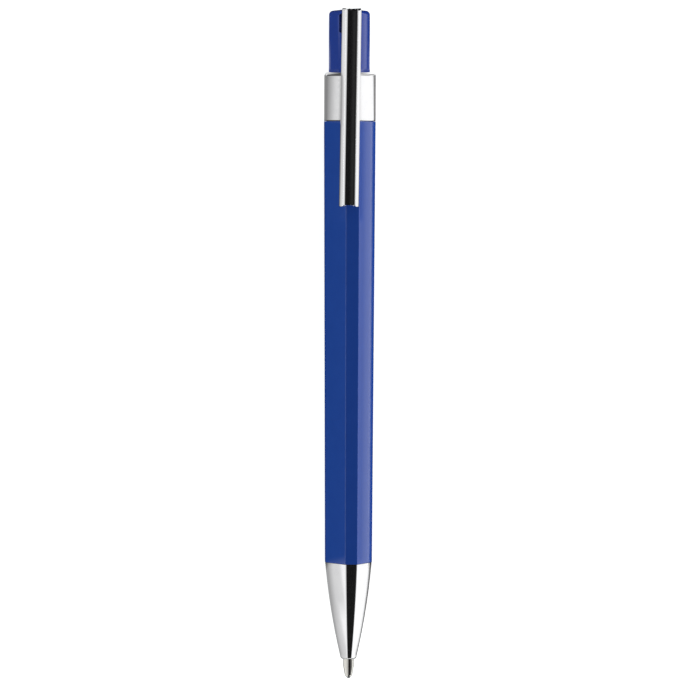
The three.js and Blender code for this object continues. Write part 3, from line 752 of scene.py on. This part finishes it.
@dataclass
class PushButton:
    """The push button: drawn-in section, rounded crown, stem bore, and a window for the clip's tab."""

    section: PenSection = PenSection()
    skirt: float = 120.3
    skirt_inset: float = 1.8
    skirt_edge: float = 0.15
    top: float = 140.37
    top_scale: float = 0.99
    taper_start: float = 127.3
    inset: float = 1.08
    side_shift: float = 0.15
    crown_radius: float = 0.85
    dome: float = 0.32
    dome_inset: float = 3.4
    fillet_steps: int = 10
    stem_radius: float = 2.45
    cap_floor: float = 134.0
    window_width: float = 4.2
    window_shift: float = 0.5
    window_low: float = 135.35
    window_high: float = 139.5
    window_floor: float = 1.5
    window_corner: float = 0.5
    rim: float = 0.25
    rim_steps: int = 3
    rim_angle: float = 20.0
    slot_width: float = 1.6
    slot_height: float = 0.65
    slot_depth: float = 0.7

    def moulding(self) -> Object:
        """Skins the button from its bore over the skirt to the slightly domed crown.

        Returns:
            The button, still without its window.
        """
        path = filleted((
            (self.skirt, self.skirt_inset, 0), (self.skirt, self.inset, self.skirt_edge),
            (self.top - self.dome, self.inset, self.crown_radius), (self.top, self.dome_inset, 0),
        ), self.fillet_steps)
        scale = np.interp(path[:, 0], (self.taper_start, self.top - self.crown_radius), (1, self.top_scale))
        bore = np.array(((self.cap_floor, self.stem_radius), (self.skirt, self.stem_radius)))
        skin = self.section.skin(path, scale) + np.array([self.side_shift, 0, 0])
        rings = np.concatenate([self.section.bore(bore), skin])
        return solid("button_moulding", [skinned(rings, Ends.POLES)])

    def block(self, name: str, middle: Pair, size: Pair, corner: float, heights: Pair) -> Object:
        """Makes a block to cut with, a rectangle in x and s that stands in y.

        The outline is middle + side * (half - corner) + corner * (cos a, sin a), where side is
        the quarter's pair of signs and a goes around in four quarters.

        Args:
            name: the block's name.
            middle: the rectangle's middle.
            size: its width and height.
            corner: the radius of its corners, or 0.
            heights: the block's lower and upper y.

        Returns:
            The block.
        """
        steps = ARC_STEPS if corner else 0
        angle = (QUARTER * np.arange(4)[:, None] + np.linspace(0, QUARTER, steps + 1)).ravel()
        side = np.repeat([[1, 1], [-1, 1], [-1, -1], [1, -1]], steps + 1, 0)
        outline = np.array(middle) + side * (np.array(size) / 2 - corner)
        outline += corner * np.stack([np.cos(angle), np.sin(angle)], 1)
        return solid(name, [skinned(np.stack([np.insert(outline, 1, y, 1) for y in heights]), Ends.POLES)])

    def build(self) -> Object:
        """Cuts the window, and a slot for the tab in its floor, and eases the window's rim.

        Returns:
            The button.
        """
        piece = self.moulding()
        floor = self.window_floor
        cutters = (
            self.block("window_cutter", (self.window_shift, (self.window_low + self.window_high) / 2),
                       (self.window_width, self.window_high - self.window_low), self.window_corner,
                       (floor, 2 * self.section.flat_distance)),
            self.block("slot_cutter", (TAB_SHIFT, TAB_STATION), (self.slot_width, self.slot_height), 0,
                       (floor - self.slot_depth, floor + self.slot_depth)),
        )
        for cutter in cutters:
            cut = piece.modifiers.new(cutter.name, "BOOLEAN")
            cut.object = cutter
            cut.operation = "DIFFERENCE"
            cut.solver = "EXACT"
        rim = piece.modifiers.new("rim", "BEVEL")
        rim.width = self.rim * MM
        rim.segments = self.rim_steps
        rim.limit_method = "ANGLE"
        rim.angle_limit = math.radians(self.rim_angle)
        bpy.context.view_layer.update()
        graph = bpy.context.evaluated_depsgraph_get()
        finished = bpy.data.meshes.new_from_object(piece.evaluated_get(graph))
        piece.modifiers.clear()
        piece.data = finished
        for cutter in cutters:
            bpy.data.objects.remove(cutter)
        smooth(piece)
        return piece

    def dress(self) -> None:
        """Builds and dresses the button."""
        dress(self.build(), BUTTON_ABS, "push_button", "button")


@dataclass
class Clip:
    """The pocket clip: strip steel pressed to a channel, folded over at its top into a tab."""

    top: float = 140.5
    length: float = 41.4
    thickness: float = 0.45
    web_width: float = 2.3
    web_distance: float = 8.9
    flange_length: float = 1.7
    flange_angle: float = 55.0
    bend_radius: float = 0.3
    bend_steps: int = 8
    flange_bow: float = 0.052
    flange_bow_radius: float = 6.0
    web_bow: float = 0.02
    web_bow_radius: float = 40.0
    top_dip: float = 0.4
    top_edge: float = 0.5
    top_thinness: float = 0.1
    lobe_dip: float = 0.3
    lobe_radius: float = 0.56
    edge: float = 0.1
    step: float = 0.1
    lean: float = 0.74
    skew: float = 0.75
    pivot_height: float = 1.2
    tab_width: float = 1.4
    plate_width: float = 3.6
    fold_radius: float = 0.5
    fold_steps: int = 12
    fold_thinning: float = 0.03
    tab_setback: float = 0.42
    tab_drop: float = 3.0
    plate_low: float = 1.7
    plate_high: float = 6.95
    tab_end: float = 0.9
    rows: int = 24

    @property
    def half_width(self) -> float:
        """Half the channel's whole width."""
        return self.web_width / 2 + self.flange_length * math.cos(math.radians(self.flange_angle))

    def middle_line(self) -> Array:
        """Draws the middle of the sheet in x and y, from one flange's edge to the other's.

        The sheet's rounded edge adds half its thickness to a flange, so the line ends that much
        earlier. Flanges and web are bowed outwards: each has a corner in its middle that is
        pushed out a little and has a large fillet.

        Returns:
            The line's points (n, 2).
        """
        lean = math.radians(self.flange_angle)
        sine, cosine = math.sin(lean), math.cos(lean)
        half = self.thickness / 2
        web_y = self.web_distance - half
        bend_x = self.web_width / 2 - half * math.tan(lean / 2)
        tip_x = self.half_width - half * (sine + cosine)
        tip_y = self.web_distance - self.flange_length * sine - half * (cosine - sine)
        bow_x = (bend_x + tip_x) / 2 + self.flange_bow * sine
        bow_y = (web_y + tip_y) / 2 + self.flange_bow * cosine
        bow = (bow_x, bow_y, self.flange_bow_radius)
        flange = ((tip_x, tip_y, 0), bow, (bend_x, web_y, self.bend_radius))
        crown = ((0, web_y + self.web_bow, self.web_bow_radius),)
        opposite = tuple((-x, y, radius) for x, y, radius in flange[::-1])
        return refined(filleted(flange + crown + opposite, self.bend_steps), self.step)

    def outline(self, x: Array) -> tuple[Array, Array]:
        """Finds the channel's ends: the top edge dips, and the bottom has two round lobes.

        The top edge is a parabola. Each flange ends in a half circle, r - sqrt(r^2 - distance^2)
        above the lowest point, and the web ends straight, at the height of the lobes' dip.

        Args:
            x: places across the clip, in millimetres.

        Returns:
            The lowest and the highest station at each place.
        """
        half, lobe = self.half_width, self.lobe_radius
        high = self.top - self.top_dip * (1 - (x / half) ** 2)
        distance = np.clip(np.abs(x) - (half - lobe), -lobe, lobe)
        dip = np.minimum(self.lobe_dip, lobe - np.sqrt(lobe ** 2 - distance ** 2))
        return self.top - self.length + dip, high

    def channel(self) -> Shell:
        """Makes the channel as a sheet of even thickness with rounded edges.

        A ring of the shell goes along the sheet's front, around one edge, back along its rear and
        around the other: middle + half thickness * direction. Rings are spread from the lowest to
        the highest station of each x. Near the ends the thickness follows a quarter circle below
        and a longer quarter ellipse above, where the strip was drawn over.

        Returns:
            The channel's closed shell.
        """
        middle = self.middle_line()
        tangent = tangents(middle)
        normal = np.stack([tangent[:, 1], -tangent[:, 0]], 1)
        turn = np.linspace(0, math.pi, ARC_STEPS * 2 + 1)[1:-1, None]
        far = np.cos(turn) * normal[-1] + np.sin(turn) * tangent[-1]
        near = -np.cos(turn) * normal[0] - np.sin(turn) * tangent[0]
        base = np.concatenate([
            middle, np.repeat(middle[-1:], len(turn), 0), middle[::-1], np.repeat(middle[:1], len(turn), 0),
        ])
        direction = np.concatenate([normal, far, -normal[::-1], near])
        half, edge, top_edge, rows = self.thickness / 2, self.edge, self.top_edge, self.rows
        quarter = np.linspace(0, QUARTER, ARC_STEPS + 1)
        rounded = half - edge * (1 - np.sin(quarter))
        drawn = half * (self.top_thinness + (1 - self.top_thinness) * np.sin(quarter[::-1]))
        depth = np.concatenate([[0], rounded, np.full(rows, half), drawn, [0]])
        share = np.repeat([0.0, 1.0], [ARC_STEPS + 2, rows + ARC_STEPS + 2])
        share[ARC_STEPS + 2:-ARC_STEPS - 2] = np.linspace(0, 1, rows)
        step = np.concatenate([
            [0], edge * (1 - np.cos(quarter)), np.linspace(edge + SUPPORT, -top_edge - SUPPORT, rows),
            -top_edge * (1 - np.cos(quarter[::-1])), [0],
        ])
        low, high = self.outline(base[:, 0])
        station = low + (high - low) * share[:, None] + step[:, None]
        across = base + depth[:, None, None] * direction
        return skinned(np.concatenate([across, station[..., None]], -1), Ends.POLES)

    def tab(self) -> Shell:
        """Makes the tab: a flat strip carried over the fold, down behind the web and into the button.

        Its path is a line in y and s. A ring is the strip's section, with half round edges,
        square to the path. Two rings in one place make each step in width, to the plate that
        crosses the window and back.

        Returns:
            The tab's closed shell.
        """
        half = self.thickness / 2 - self.fold_thinning
        web = self.web_distance - self.thickness / 2
        rear = web - 2 * self.fold_radius
        crest = self.top - self.tab_setback - half
        path = filleted((
            (web, TAB_STATION - self.tab_drop, 0), (web, crest, self.fold_radius),
            (rear, crest, self.fold_radius), (rear, TAB_STATION, self.fold_radius),
            (self.tab_end, TAB_STATION, 0),
        ), self.fold_steps)
        heights = np.repeat([self.plate_high, self.plate_low], 2)
        plate = np.stack([heights, np.full(4, TAB_STATION)], 1)
        path = np.concatenate([path[:-2], plate, path[-2:]])
        widths = np.full((len(path), 1), self.tab_width)
        widths[-5:-3] = self.plate_width
        tangent = tangents(path)
        normal = np.stack([-tangent[:, 1], tangent[:, 0]], 1)
        turn = np.linspace(-QUARTER, QUARTER, ARC_STEPS + 1)
        edge_x = half * np.concatenate([np.cos(turn), -np.cos(turn)])
        edge_n = half * np.concatenate([np.sin(turn), np.sin(turn[::-1])])
        x = edge_x + np.repeat([1.0, -1.0], len(turn)) * (widths / 2 - half)
        offset = edge_n[:, None] * normal[:, None]
        return skinned(np.concatenate([x[..., None], path[:, None] + offset], -1), Ends.POLES)

    def placed(self, shell: Shell) -> Shell:
        """Leans and skews a shell about the end of the tab, then shifts it to its side.

        Args:
            shell: a shell that stands straight.

        Returns:
            The shell in its place.
        """
        turn_x = np.array(Matrix.Rotation(math.radians(self.lean), 3, "X"))
        turn_y = np.array(Matrix.Rotation(math.radians(-self.skew), 3, "Y"))
        pivot = np.array([0, self.pivot_height, TAB_STATION])
        shift = np.array([TAB_SHIFT, 0, 0])
        return (shell[0] - pivot) @ (turn_x @ turn_y).T + pivot + shift, shell[1]

    def build(self) -> Object:
        """Makes the clip from its channel and its tab."""
        return solid("clip_strip", [self.placed(self.channel()), self.placed(self.tab())])

    def dress(self) -> None:
        """Builds and dresses the clip."""
        dress(self.build(), CLIP_CHROME, "clip", "clip")


@dataclass
class Refill:
    """What shows of the refill: the ball, its metal point, the adaptor and the return spring."""

    ball_steps: int = 32
    mouth: float = 0.42
    mouth_radius: float = 0.508
    lip_radius: float = 0.57
    lip_edge: float = 0.03
    seat: float = 0.8
    seat_radius: float = 0.45
    taper_front: float = 0.7
    taper_radius: float = 0.78
    taper_front_blend: float = 0.2
    taper_back: float = 2.6
    taper_back_blend: float = 1.5
    point_radius: float = 1.12
    point_back: float = 11.1
    point_edge: float = 0.08
    shank_radius: float = 0.8
    shank_back: float = 15.1
    shank_edge: float = 0.05
    channel_radius: float = 0.35
    adaptor_front: float = 11.2
    adaptor_radius: float = 1.45
    adaptor_edge: float = 0.1
    adaptor_shoulder: float = 34.0
    adaptor_back: float = 35.4
    shoulder_radius: float = 2.1
    shoulder_edge: float = 0.15
    spigot_radius: float = 1.05
    spigot_back: float = 39.4
    shank_socket: float = 0.85
    socket_back: float = 15.3
    wire_radius: float = 0.175
    wire_sides: int = 12
    coil_radius: float = 1.9
    coil_front: float = 14.825
    coil_back: float = 33.775
    turns: int = 14
    steps_per_turn: int = 36
    # A closed turn rises by this many wire radii, a little more than the wire is thick.
    closed_rise: float = 2.1

    def ball(self) -> Object:
        """Turns a sphere: station r - r * cos(a) and radius r * sin(a) for a up to a half turn.

        Returns:
            The ball.
        """
        angle = np.linspace(0, math.pi, self.ball_steps + 1)[1:-1]
        path = np.stack([BALL_RADIUS * (1 - np.cos(angle)), BALL_RADIUS * np.sin(angle)], 1)
        return solid("writing_ball_lapped", [skinned(turned(path), Ends.POLES)])

    def point(self) -> Object:
        """Turns the point: its crimped lip, taper, guide cylinder, shank, channel and ball seat.

        Returns:
            The point.
        """
        path = filleted((
            (self.mouth, self.mouth_radius, 0), (self.mouth, self.lip_radius, self.lip_edge),
            (self.taper_front, self.taper_radius, self.taper_front_blend),
            (self.taper_back, self.point_radius, self.taper_back_blend),
            (self.point_back, self.point_radius, self.point_edge), (self.point_back, self.shank_radius, 0),
            (self.shank_back, self.shank_radius, self.shank_edge),
            (self.shank_back, self.channel_radius, 0), (BALL_RADIUS * 2, self.channel_radius, 0),
            (self.seat, self.seat_radius, 0),
        ))
        return solid("point_turned", [skinned(turned(path), Ends.LOOP)])

    def adaptor(self) -> Object:
        """Turns the adaptor: its barrel, the shoulder under the spring and the tube's spigot.

        Returns:
            The adaptor.
        """
        path = filleted((
            (self.adaptor_front, self.shank_socket, 0),
            (self.adaptor_front, self.adaptor_radius, self.adaptor_edge),
            (self.adaptor_shoulder, self.adaptor_radius, self.adaptor_edge),
            (self.adaptor_shoulder, self.shoulder_radius, self.shoulder_edge),
            (self.adaptor_back, self.shoulder_radius, self.shoulder_edge),
            (self.adaptor_back, self.spigot_radius, 0),
            (self.spigot_back, self.spigot_radius, self.adaptor_edge),
            (self.spigot_back, self.channel_radius, 0),
            (self.socket_back, self.channel_radius, 0), (self.socket_back, self.shank_socket, 0),
        ))
        return solid("point_adaptor_moulding", [skinned(turned(path), Ends.LOOP)])

    def spring(self) -> Object:
        """Winds the return spring, as one tube along a helix with a closed turn at each end.

        The centre lies at coil radius * (cos a, sin a), and its station rises by one wire over
        the first and the last turn and evenly between them. A ring of the tube lies in the plane
        of the outward direction and the one square to it and to the wire.

        Returns:
            The spring.
        """
        rise = self.closed_rise * self.wire_radius
        turn = np.linspace(0, self.turns, self.turns * self.steps_per_turn + 1)
        station = np.interp(turn, (0, 1, self.turns - 1, self.turns), (
            self.coil_front, self.coil_front + rise, self.coil_back - rise, self.coil_back,
        ))
        angle = 2 * math.pi * turn
        zero = np.zeros_like(angle)
        outward = np.stack([np.cos(angle), np.sin(angle), zero], 1)
        centre = self.coil_radius * outward + np.stack([zero, zero, station], 1)
        across = np.cross(tangents(centre), outward)
        around = np.linspace(0, 2 * math.pi, self.wire_sides, endpoint=False)[None, :, None]
        tube = np.cos(around) * outward[:, None] + np.sin(around) * across[:, None]
        return solid("return_spring_wire", [skinned(centre[:, None] + self.wire_radius * tube, Ends.POLES)])

    def dress(self) -> None:
        """Builds and dresses what shows of the refill, and leaves the spring on no body."""
        dress(self.ball(), CARBIDE, "writing_ball", "refill")
        dress(self.point(), NICKEL_SILVER, "point", "refill")
        dress(self.adaptor(), ACETAL, "point_adaptor", "refill")
        spring = dress(self.spring(), SPRING_WIRE, "return_spring", None)
        ends = AXES.place(np.array([[0, 0, self.coil_front], [0, 0, self.coil_back]]))
        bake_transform(spring)


@dataclass
class InnerWorks:
    """The click mechanism and the ink tube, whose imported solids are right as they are."""

    finishes: tuple[tuple[str, Finish], ...] = (
        ("plunger", ACETAL), ("guide_sleeve", ACETAL), ("rotor", ROTOR_ACETAL),
        ("ink_tube", TUBE), ("ink", INK), ("grease_plug", GREASE),
    )

    def dress(self) -> None:
        """Puts each finish on its solid."""
        for name, finish in self.finishes:
            node = frame["nodes"][name]
            node.data.materials.clear()
            node.data.materials.append(finish.material())
            LOG.info("%s: packed solid, %s", name, finish.name)


@dataclass(frozen=True)
class Zone:
    """A stretch of a card along the pen: its two ends and its level by distance from the edge line."""

    start: float
    end: float
    levels: tuple[Pair, ...]


@dataclass(frozen=True)
class PaintedReflectionCard:
    """A glowing card on the table beside the pen: painted reflection that only mirror-like surfaces show.

    An edge line runs beside the pen, from the button's end on. The card's level depends on the
    distance outwards from that line, in millimetres, and differs from zone to zone along the pen.
    A level near 0 is painted shadow, the pen's own shade on the table beside it, and the peaks
    above 1 are painted highlights.
    """

    name: str
    side: int
    edge: tuple[Pair, ...]
    zones: tuple[Zone, ...]
    height: float = 0.1
    row_gap: float = 0.02

    def build(self) -> None:
        """Makes the card as a grid whose level is a point attribute.

        Point (i, j) lies at x(j) and at the edge line's y(j) plus the distance d(i). Rows that
        would cross the pen's axis are held back at their row number times a small gap.
        """
        edge_x, edge_y = np.array(self.edge[::-1]).T
        distances = np.unique([distance for zone in self.zones for distance, _ in zone.levels])
        stations, levels = [], []
        for zone in self.zones:
            places = [zone.start, *(x for x in edge_x[::-1] if zone.end < x < zone.start), zone.end]
            stations += places
            levels += [np.interp(distances, *np.array(zone.levels).T)] * len(places)
        grid = np.stack(levels, 1)
        x = np.broadcast_to(np.array(stations), grid.shape)
        least = self.row_gap * np.arange(len(distances))[:, None]
        y = self.side * np.maximum(np.interp(stations, edge_x, edge_y) + distances[:, None], least)
        points = np.stack([x, y, np.full_like(x, self.height)], -1).reshape(-1, 3) * MM
        index = np.arange(grid.size).reshape(grid.shape)
        faces = np.stack([index[:-1, :-1], index[1:, :-1], index[1:, 1:], index[:-1, 1:]], -1)
        mesh = bpy.data.meshes.new(self.name)
        mesh.from_pydata(points.tolist(), [], faces.reshape(-1, 4).tolist())
        mesh.attributes.new("level", "FLOAT", "POINT").data.foreach_set("value", grid.ravel())
        mesh.materials.append(self.material())
        card = linked(self.name, mesh)
        # Only mirror rays see the card, so it paints reflections and lights nothing.
        card.visible_camera = card.visible_diffuse = card.visible_shadow = False

    def material(self) -> Material:
        """Makes a material that glows at the card's level, which paints the reflection.

        Returns:
            The material.
        """
        material = bpy.data.materials.new(self.name)
        tree = cleared_tree(material)
        level = add_node(tree, "ShaderNodeAttribute", attribute_name="level").outputs["Fac"]
        glow = add_node(tree, "ShaderNodeEmission", {"Strength": level})
        add_node(tree, "ShaderNodeOutputMaterial", {"Surface": glow.outputs[0]})
        return material


# Painted reflection on the pen's left: its low levels paint the pen's shadow on the table there.
LEFT_PAINTED_REFLECTION = PaintedReflectionCard(
    "left_card", 1,
    ((2900, 13.5), (75, 13.5), (57.8, 13.7), (57.4, 15.3), (46.4, 14.7), (-46, 13.3), (-48.5, 13.1),
     (-57.5, 11.6), (-66.5, 9.3), (-80, 5.5)),
    (
        Zone(2900, 75, ((-13, 0.03), (5, 0.03), (10, 0.5), (100, 0.9))),
        Zone(74.6, 64, ((-13, 0.05), (8.5, 0.1), (11, 0.5), (25, 0.8), (100, 0.8))),
        Zone(60, 57.8, ((-13, 0.8), (-2, 0.8), (-1, 0.1), (8.5, 0.1), (11, 0.5), (25, 0.8), (100, 0.8))),
        Zone(57.4, 47, ((-9, 0.4), (-6, 0.25), (0, 0.25), (4, 0.7), (6, 0.8), (7, 0.4), (15, 0.35),
                        (40, 0.7), (100, 0.8))),
        Zone(46.4, 26, ((-13, 0), (6, 0.05), (16, 0.25), (26, 0.7), (100, 0.8))),
        Zone(25, -46, ((-13, 0), (12, 0.05), (16, 0.5), (100, 0.8))),
        Zone(-48.5, -57, ((-12, 0.4), (0, 0.4), (2.5, 0.7), (6, 0.75), (7, 1), (100, 0.9))),
        Zone(-62, -80, ((-12, 0.4), (0, 0.4), (1, 0.6), (3, 0.75), (4, 1), (100, 0.9))),
    ),
)
# Painted reflection on the pen's right: its zeros paint the pen's contact shadow and a dark line beside the
# clip, and its peaks are painted highlights along the edges.
RIGHT_PAINTED_REFLECTION = PaintedReflectionCard(
    "right_card", -1,
    ((2900, 10.2), (75, 10.2), (57.8, 10.4), (57.4, 12.5), (46.4, 12.1), (-46, 10.95), (-48.5, 10.75),
     (-56.5, 9.4), (-65, 7.6), (-80, 4.4)),
    (
        Zone(2900, 75, ((-10, 0.02), (30, 0.02), (60, 0.7), (90, 1))),
        Zone(74.6, 64, ((-10, 0), (0.3, 0), (0.8, 1.2), (2.4, 0.4), (7, 0.8), (17, 1.1), (90, 0.4))),
        Zone(60, 57.8, ((-10, 1.1), (-1, 1.1), (-0.6, 0), (0.3, 0), (0.8, 1.2), (2.4, 0.4), (7, 0.8),
                        (17, 1.1), (90, 0.4))),
        Zone(57.4, 47, ((-10, 0.25), (-0.4, 0.25), (0.1, 1.1), (4, 1.1), (5, 0.9), (15, 1.1), (90, 0.4))),
        Zone(46.4, 26, ((-10, 0), (0.3, 0), (0.6, 1.8), (1, 1), (2.5, 0.8), (3.5, 0.5), (5, 0.1),
                        (5.5, 0.8), (15, 1.1), (90, 0.4))),
        Zone(25, -46, ((-10, 0), (0.3, 0), (0.6, 1.8), (1, 1), (2.5, 0.8), (3.5, 0.5), (5, 0.6),
                       (9, 1.1), (90, 1.1))),
        Zone(-48.5, -80, ((-10, 0.2), (-0.3, 0.2), (0.3, 1.1), (90, 1.1))),
    ),
)


@dataclass
class Studio:
    """The white table, the soft lamps, the room's painted reflection, the painted reflection cards and the
    camera.

    Places are in metres in the row frame and the camera's angles in degrees.
    """

    floor_half: float = 3.0
    floor_colour: str = "#f7f7f7"
    floor_glow: float = 0.7
    camera_place: Triple = (0.0358, 0.09086, 1.11638)
    camera_aim: Triple = (-0.00132, -0.00008, 0.0045)
    camera_roll: float = -0.1746
    camera_view: float = 7.527
    room_light: float = 0.4
    # Levels of the room's painted reflection, by the direction's y from -1 to 1.
    painted_room_reflection: tuple[Pair, ...] = (
        (-1.0, 0.4), (-0.75, 0.1), (-0.45, 0.01), (-0.13, 0.01), (-0.11, 0.03), (-0.08, 0.006), (0.0, 0.01),
        (0.1, 0.2), (0.25, 0.45), (0.5, 0.7), (1.0, 0.9),
    )
    key_place: Triple = (0.0, -1.1, 0.22)
    key_power: float = 12.0
    fill_place: Triple = (0.0, 1.1, 0.22)
    fill_power: float = 6.2
    fill_tint: Triple = (0.85, 1.1, 1.0)
    lamp_size: Pair = (1.2, 0.5)
    cards: tuple[PaintedReflectionCard, ...] = (LEFT_PAINTED_REFLECTION, RIGHT_PAINTED_REFLECTION)

    def seen(self, tree: NodeTree) -> bpy.types.NodeSocket:
        """Tells rays that show a surface from those that only light one.

        Args:
            tree: the node tree that takes the nodes.

        Returns:
            1 for rays from the camera, from a mirror and through glass, and 0 for all others.
        """
        path = add_node(tree, "ShaderNodeLightPath").outputs
        shows = path["Is Camera Ray"]
        for ray in ("Is Glossy Ray", "Is Transmission Ray"):
            either = add_node(tree, "ShaderNodeMath", {0: shows, 1: path[ray]}, operation="MAXIMUM")
            shows = either.outputs[0]
        return shows

    def floor(self) -> None:
        """Lays a wide pale table under the pen, which glows white where seen and keeps shadows."""
        material = bpy.data.materials.new("matt_white_table")
        tree = cleared_tree(material)
        matt = add_node(tree, "ShaderNodeBsdfDiffuse", {"Color": linear(self.floor_colour)})
        level = add_node(tree, "ShaderNodeMath", {0: self.seen(tree), 1: self.floor_glow},
                         operation="MULTIPLY")
        glow = add_node(tree, "ShaderNodeEmission", {"Strength": level.outputs[0]})
        both = add_node(tree, "ShaderNodeAddShader", {0: matt.outputs[0], 1: glow.outputs[0]})
        add_node(tree, "ShaderNodeOutputMaterial", {"Surface": both.outputs[0]})
        half = self.floor_half
        mesh = bpy.data.meshes.new("table")
        mesh.from_pydata([(-half, -half, 0), (half, -half, 0), (half, half, 0), (-half, half, 0)],
                         [], [(0, 1, 2, 3)])
        mesh.materials.append(material)
        linked("table", mesh)

    def sky(self) -> None:
        """Makes the room: even light on matt surfaces, and a painted reflection of its own for mirrors.

        The picture depends only on the direction's y. It is painted dark overhead along the pen, light
        on the left and dim on the right; matt surfaces get the even light instead. Camera rays see plain
        white.
        """
        world = bpy.data.worlds.new("studio")
        bpy.context.scene.world = world
        tree = cleared_tree(world)
        direction = add_node(tree, "ShaderNodeTexCoord").outputs["Generated"]
        parts = add_node(tree, "ShaderNodeSeparateXYZ", {0: direction}).outputs
        place = add_node(tree, "ShaderNodeMapRange", {"Value": parts["Y"], "From Min": -1.0})
        picture = add_node(tree, "ShaderNodeValToRGB", {0: place.outputs["Result"]})
        stops = picture.color_ramp.elements
        for sideways, _ in self.painted_room_reflection[1:-1]:
            stops.new((sideways + 1) / 2)
        for stop, (_, level) in zip(stops, self.painted_room_reflection):
            stop.color = (level, level, level, 1)
        lit = add_node(tree, "ShaderNodeMapRange", {
            "Value": self.seen(tree), "To Min": self.room_light, "To Max": picture.outputs["Color"],
        }).outputs["Result"]
        camera = add_node(tree, "ShaderNodeLightPath").outputs["Is Camera Ray"]
        strength = add_node(tree, "ShaderNodeMath", {0: lit, 1: camera}, operation="MAXIMUM").outputs[0]
        back = add_node(tree, "ShaderNodeBackground", {"Color": (1, 1, 1, 1), "Strength": strength})
        add_node(tree, "ShaderNodeOutputWorld", {"Surface": back.outputs[0]})

    def lamp(self, name: str, place: Triple, power: float, tint: Triple = (1, 1, 1)) -> None:
        """Sets up a soft rectangular lamp that faces the pen and doesn't show in mirrors.

        Args:
            name: the lamp's name.
            place: where it stands.
            power: its power in watts.
            tint: its linear colour.
        """
        light = bpy.data.lights.new(name, "AREA")
        light.shape = "RECTANGLE"
        light.size, light.size_y = self.lamp_size
        light.energy = power
        light.color = tint
        lamp = linked(name, light)
        lamp.location = place
        lamp.rotation_euler = (-Vector(place)).to_track_quat("-Z", "Y").to_euler()
        lamp.visible_glossy = False

    def camera(self) -> None:
        """Hangs the camera high over the clip's lower end, a little to the left, button end up."""
        place, aim = Vector(self.camera_place), Vector(self.camera_aim)
        forward = (aim - place).normalized()
        up = Vector((1, 0, 0))
        up = (up - forward * up.dot(forward)).normalized()
        up = Matrix.Rotation(math.radians(self.camera_roll), 3, forward) @ up
        facing = Matrix((forward.cross(up), up, -forward)).transposed().to_4x4()
        data = bpy.data.cameras.new("photo_camera")
        data.angle = math.radians(self.camera_view)
        camera = linked("photo_camera", data)
        camera.matrix_world = Matrix.Translation(place) @ facing
        bpy.context.scene.camera = camera

    def build(self) -> None:
        """Sets up the whole studio."""
        self.floor()
        self.sky()
        for card in self.cards:
            card.build()
        self.lamp("key_lamp", self.key_place, self.key_power)
        self.lamp("fill_lamp", self.fill_place, self.fill_power, self.fill_tint)
        self.camera()
        bpy.context.scene.view_settings.view_transform = "Standard"


def main() -> None:
    """Builds the pen's pieces from barrel to spring, then the studio."""
    logging.basicConfig(level=logging.INFO, format="%(name)s: %(message)s")
    for assembly in (Barrel(), Collar(), NoseCone(), PushButton(), Clip(), Refill(), InnerWorks()):
        assembly.dress()
    Studio().build()


if __name__ == "__main__":
    main()
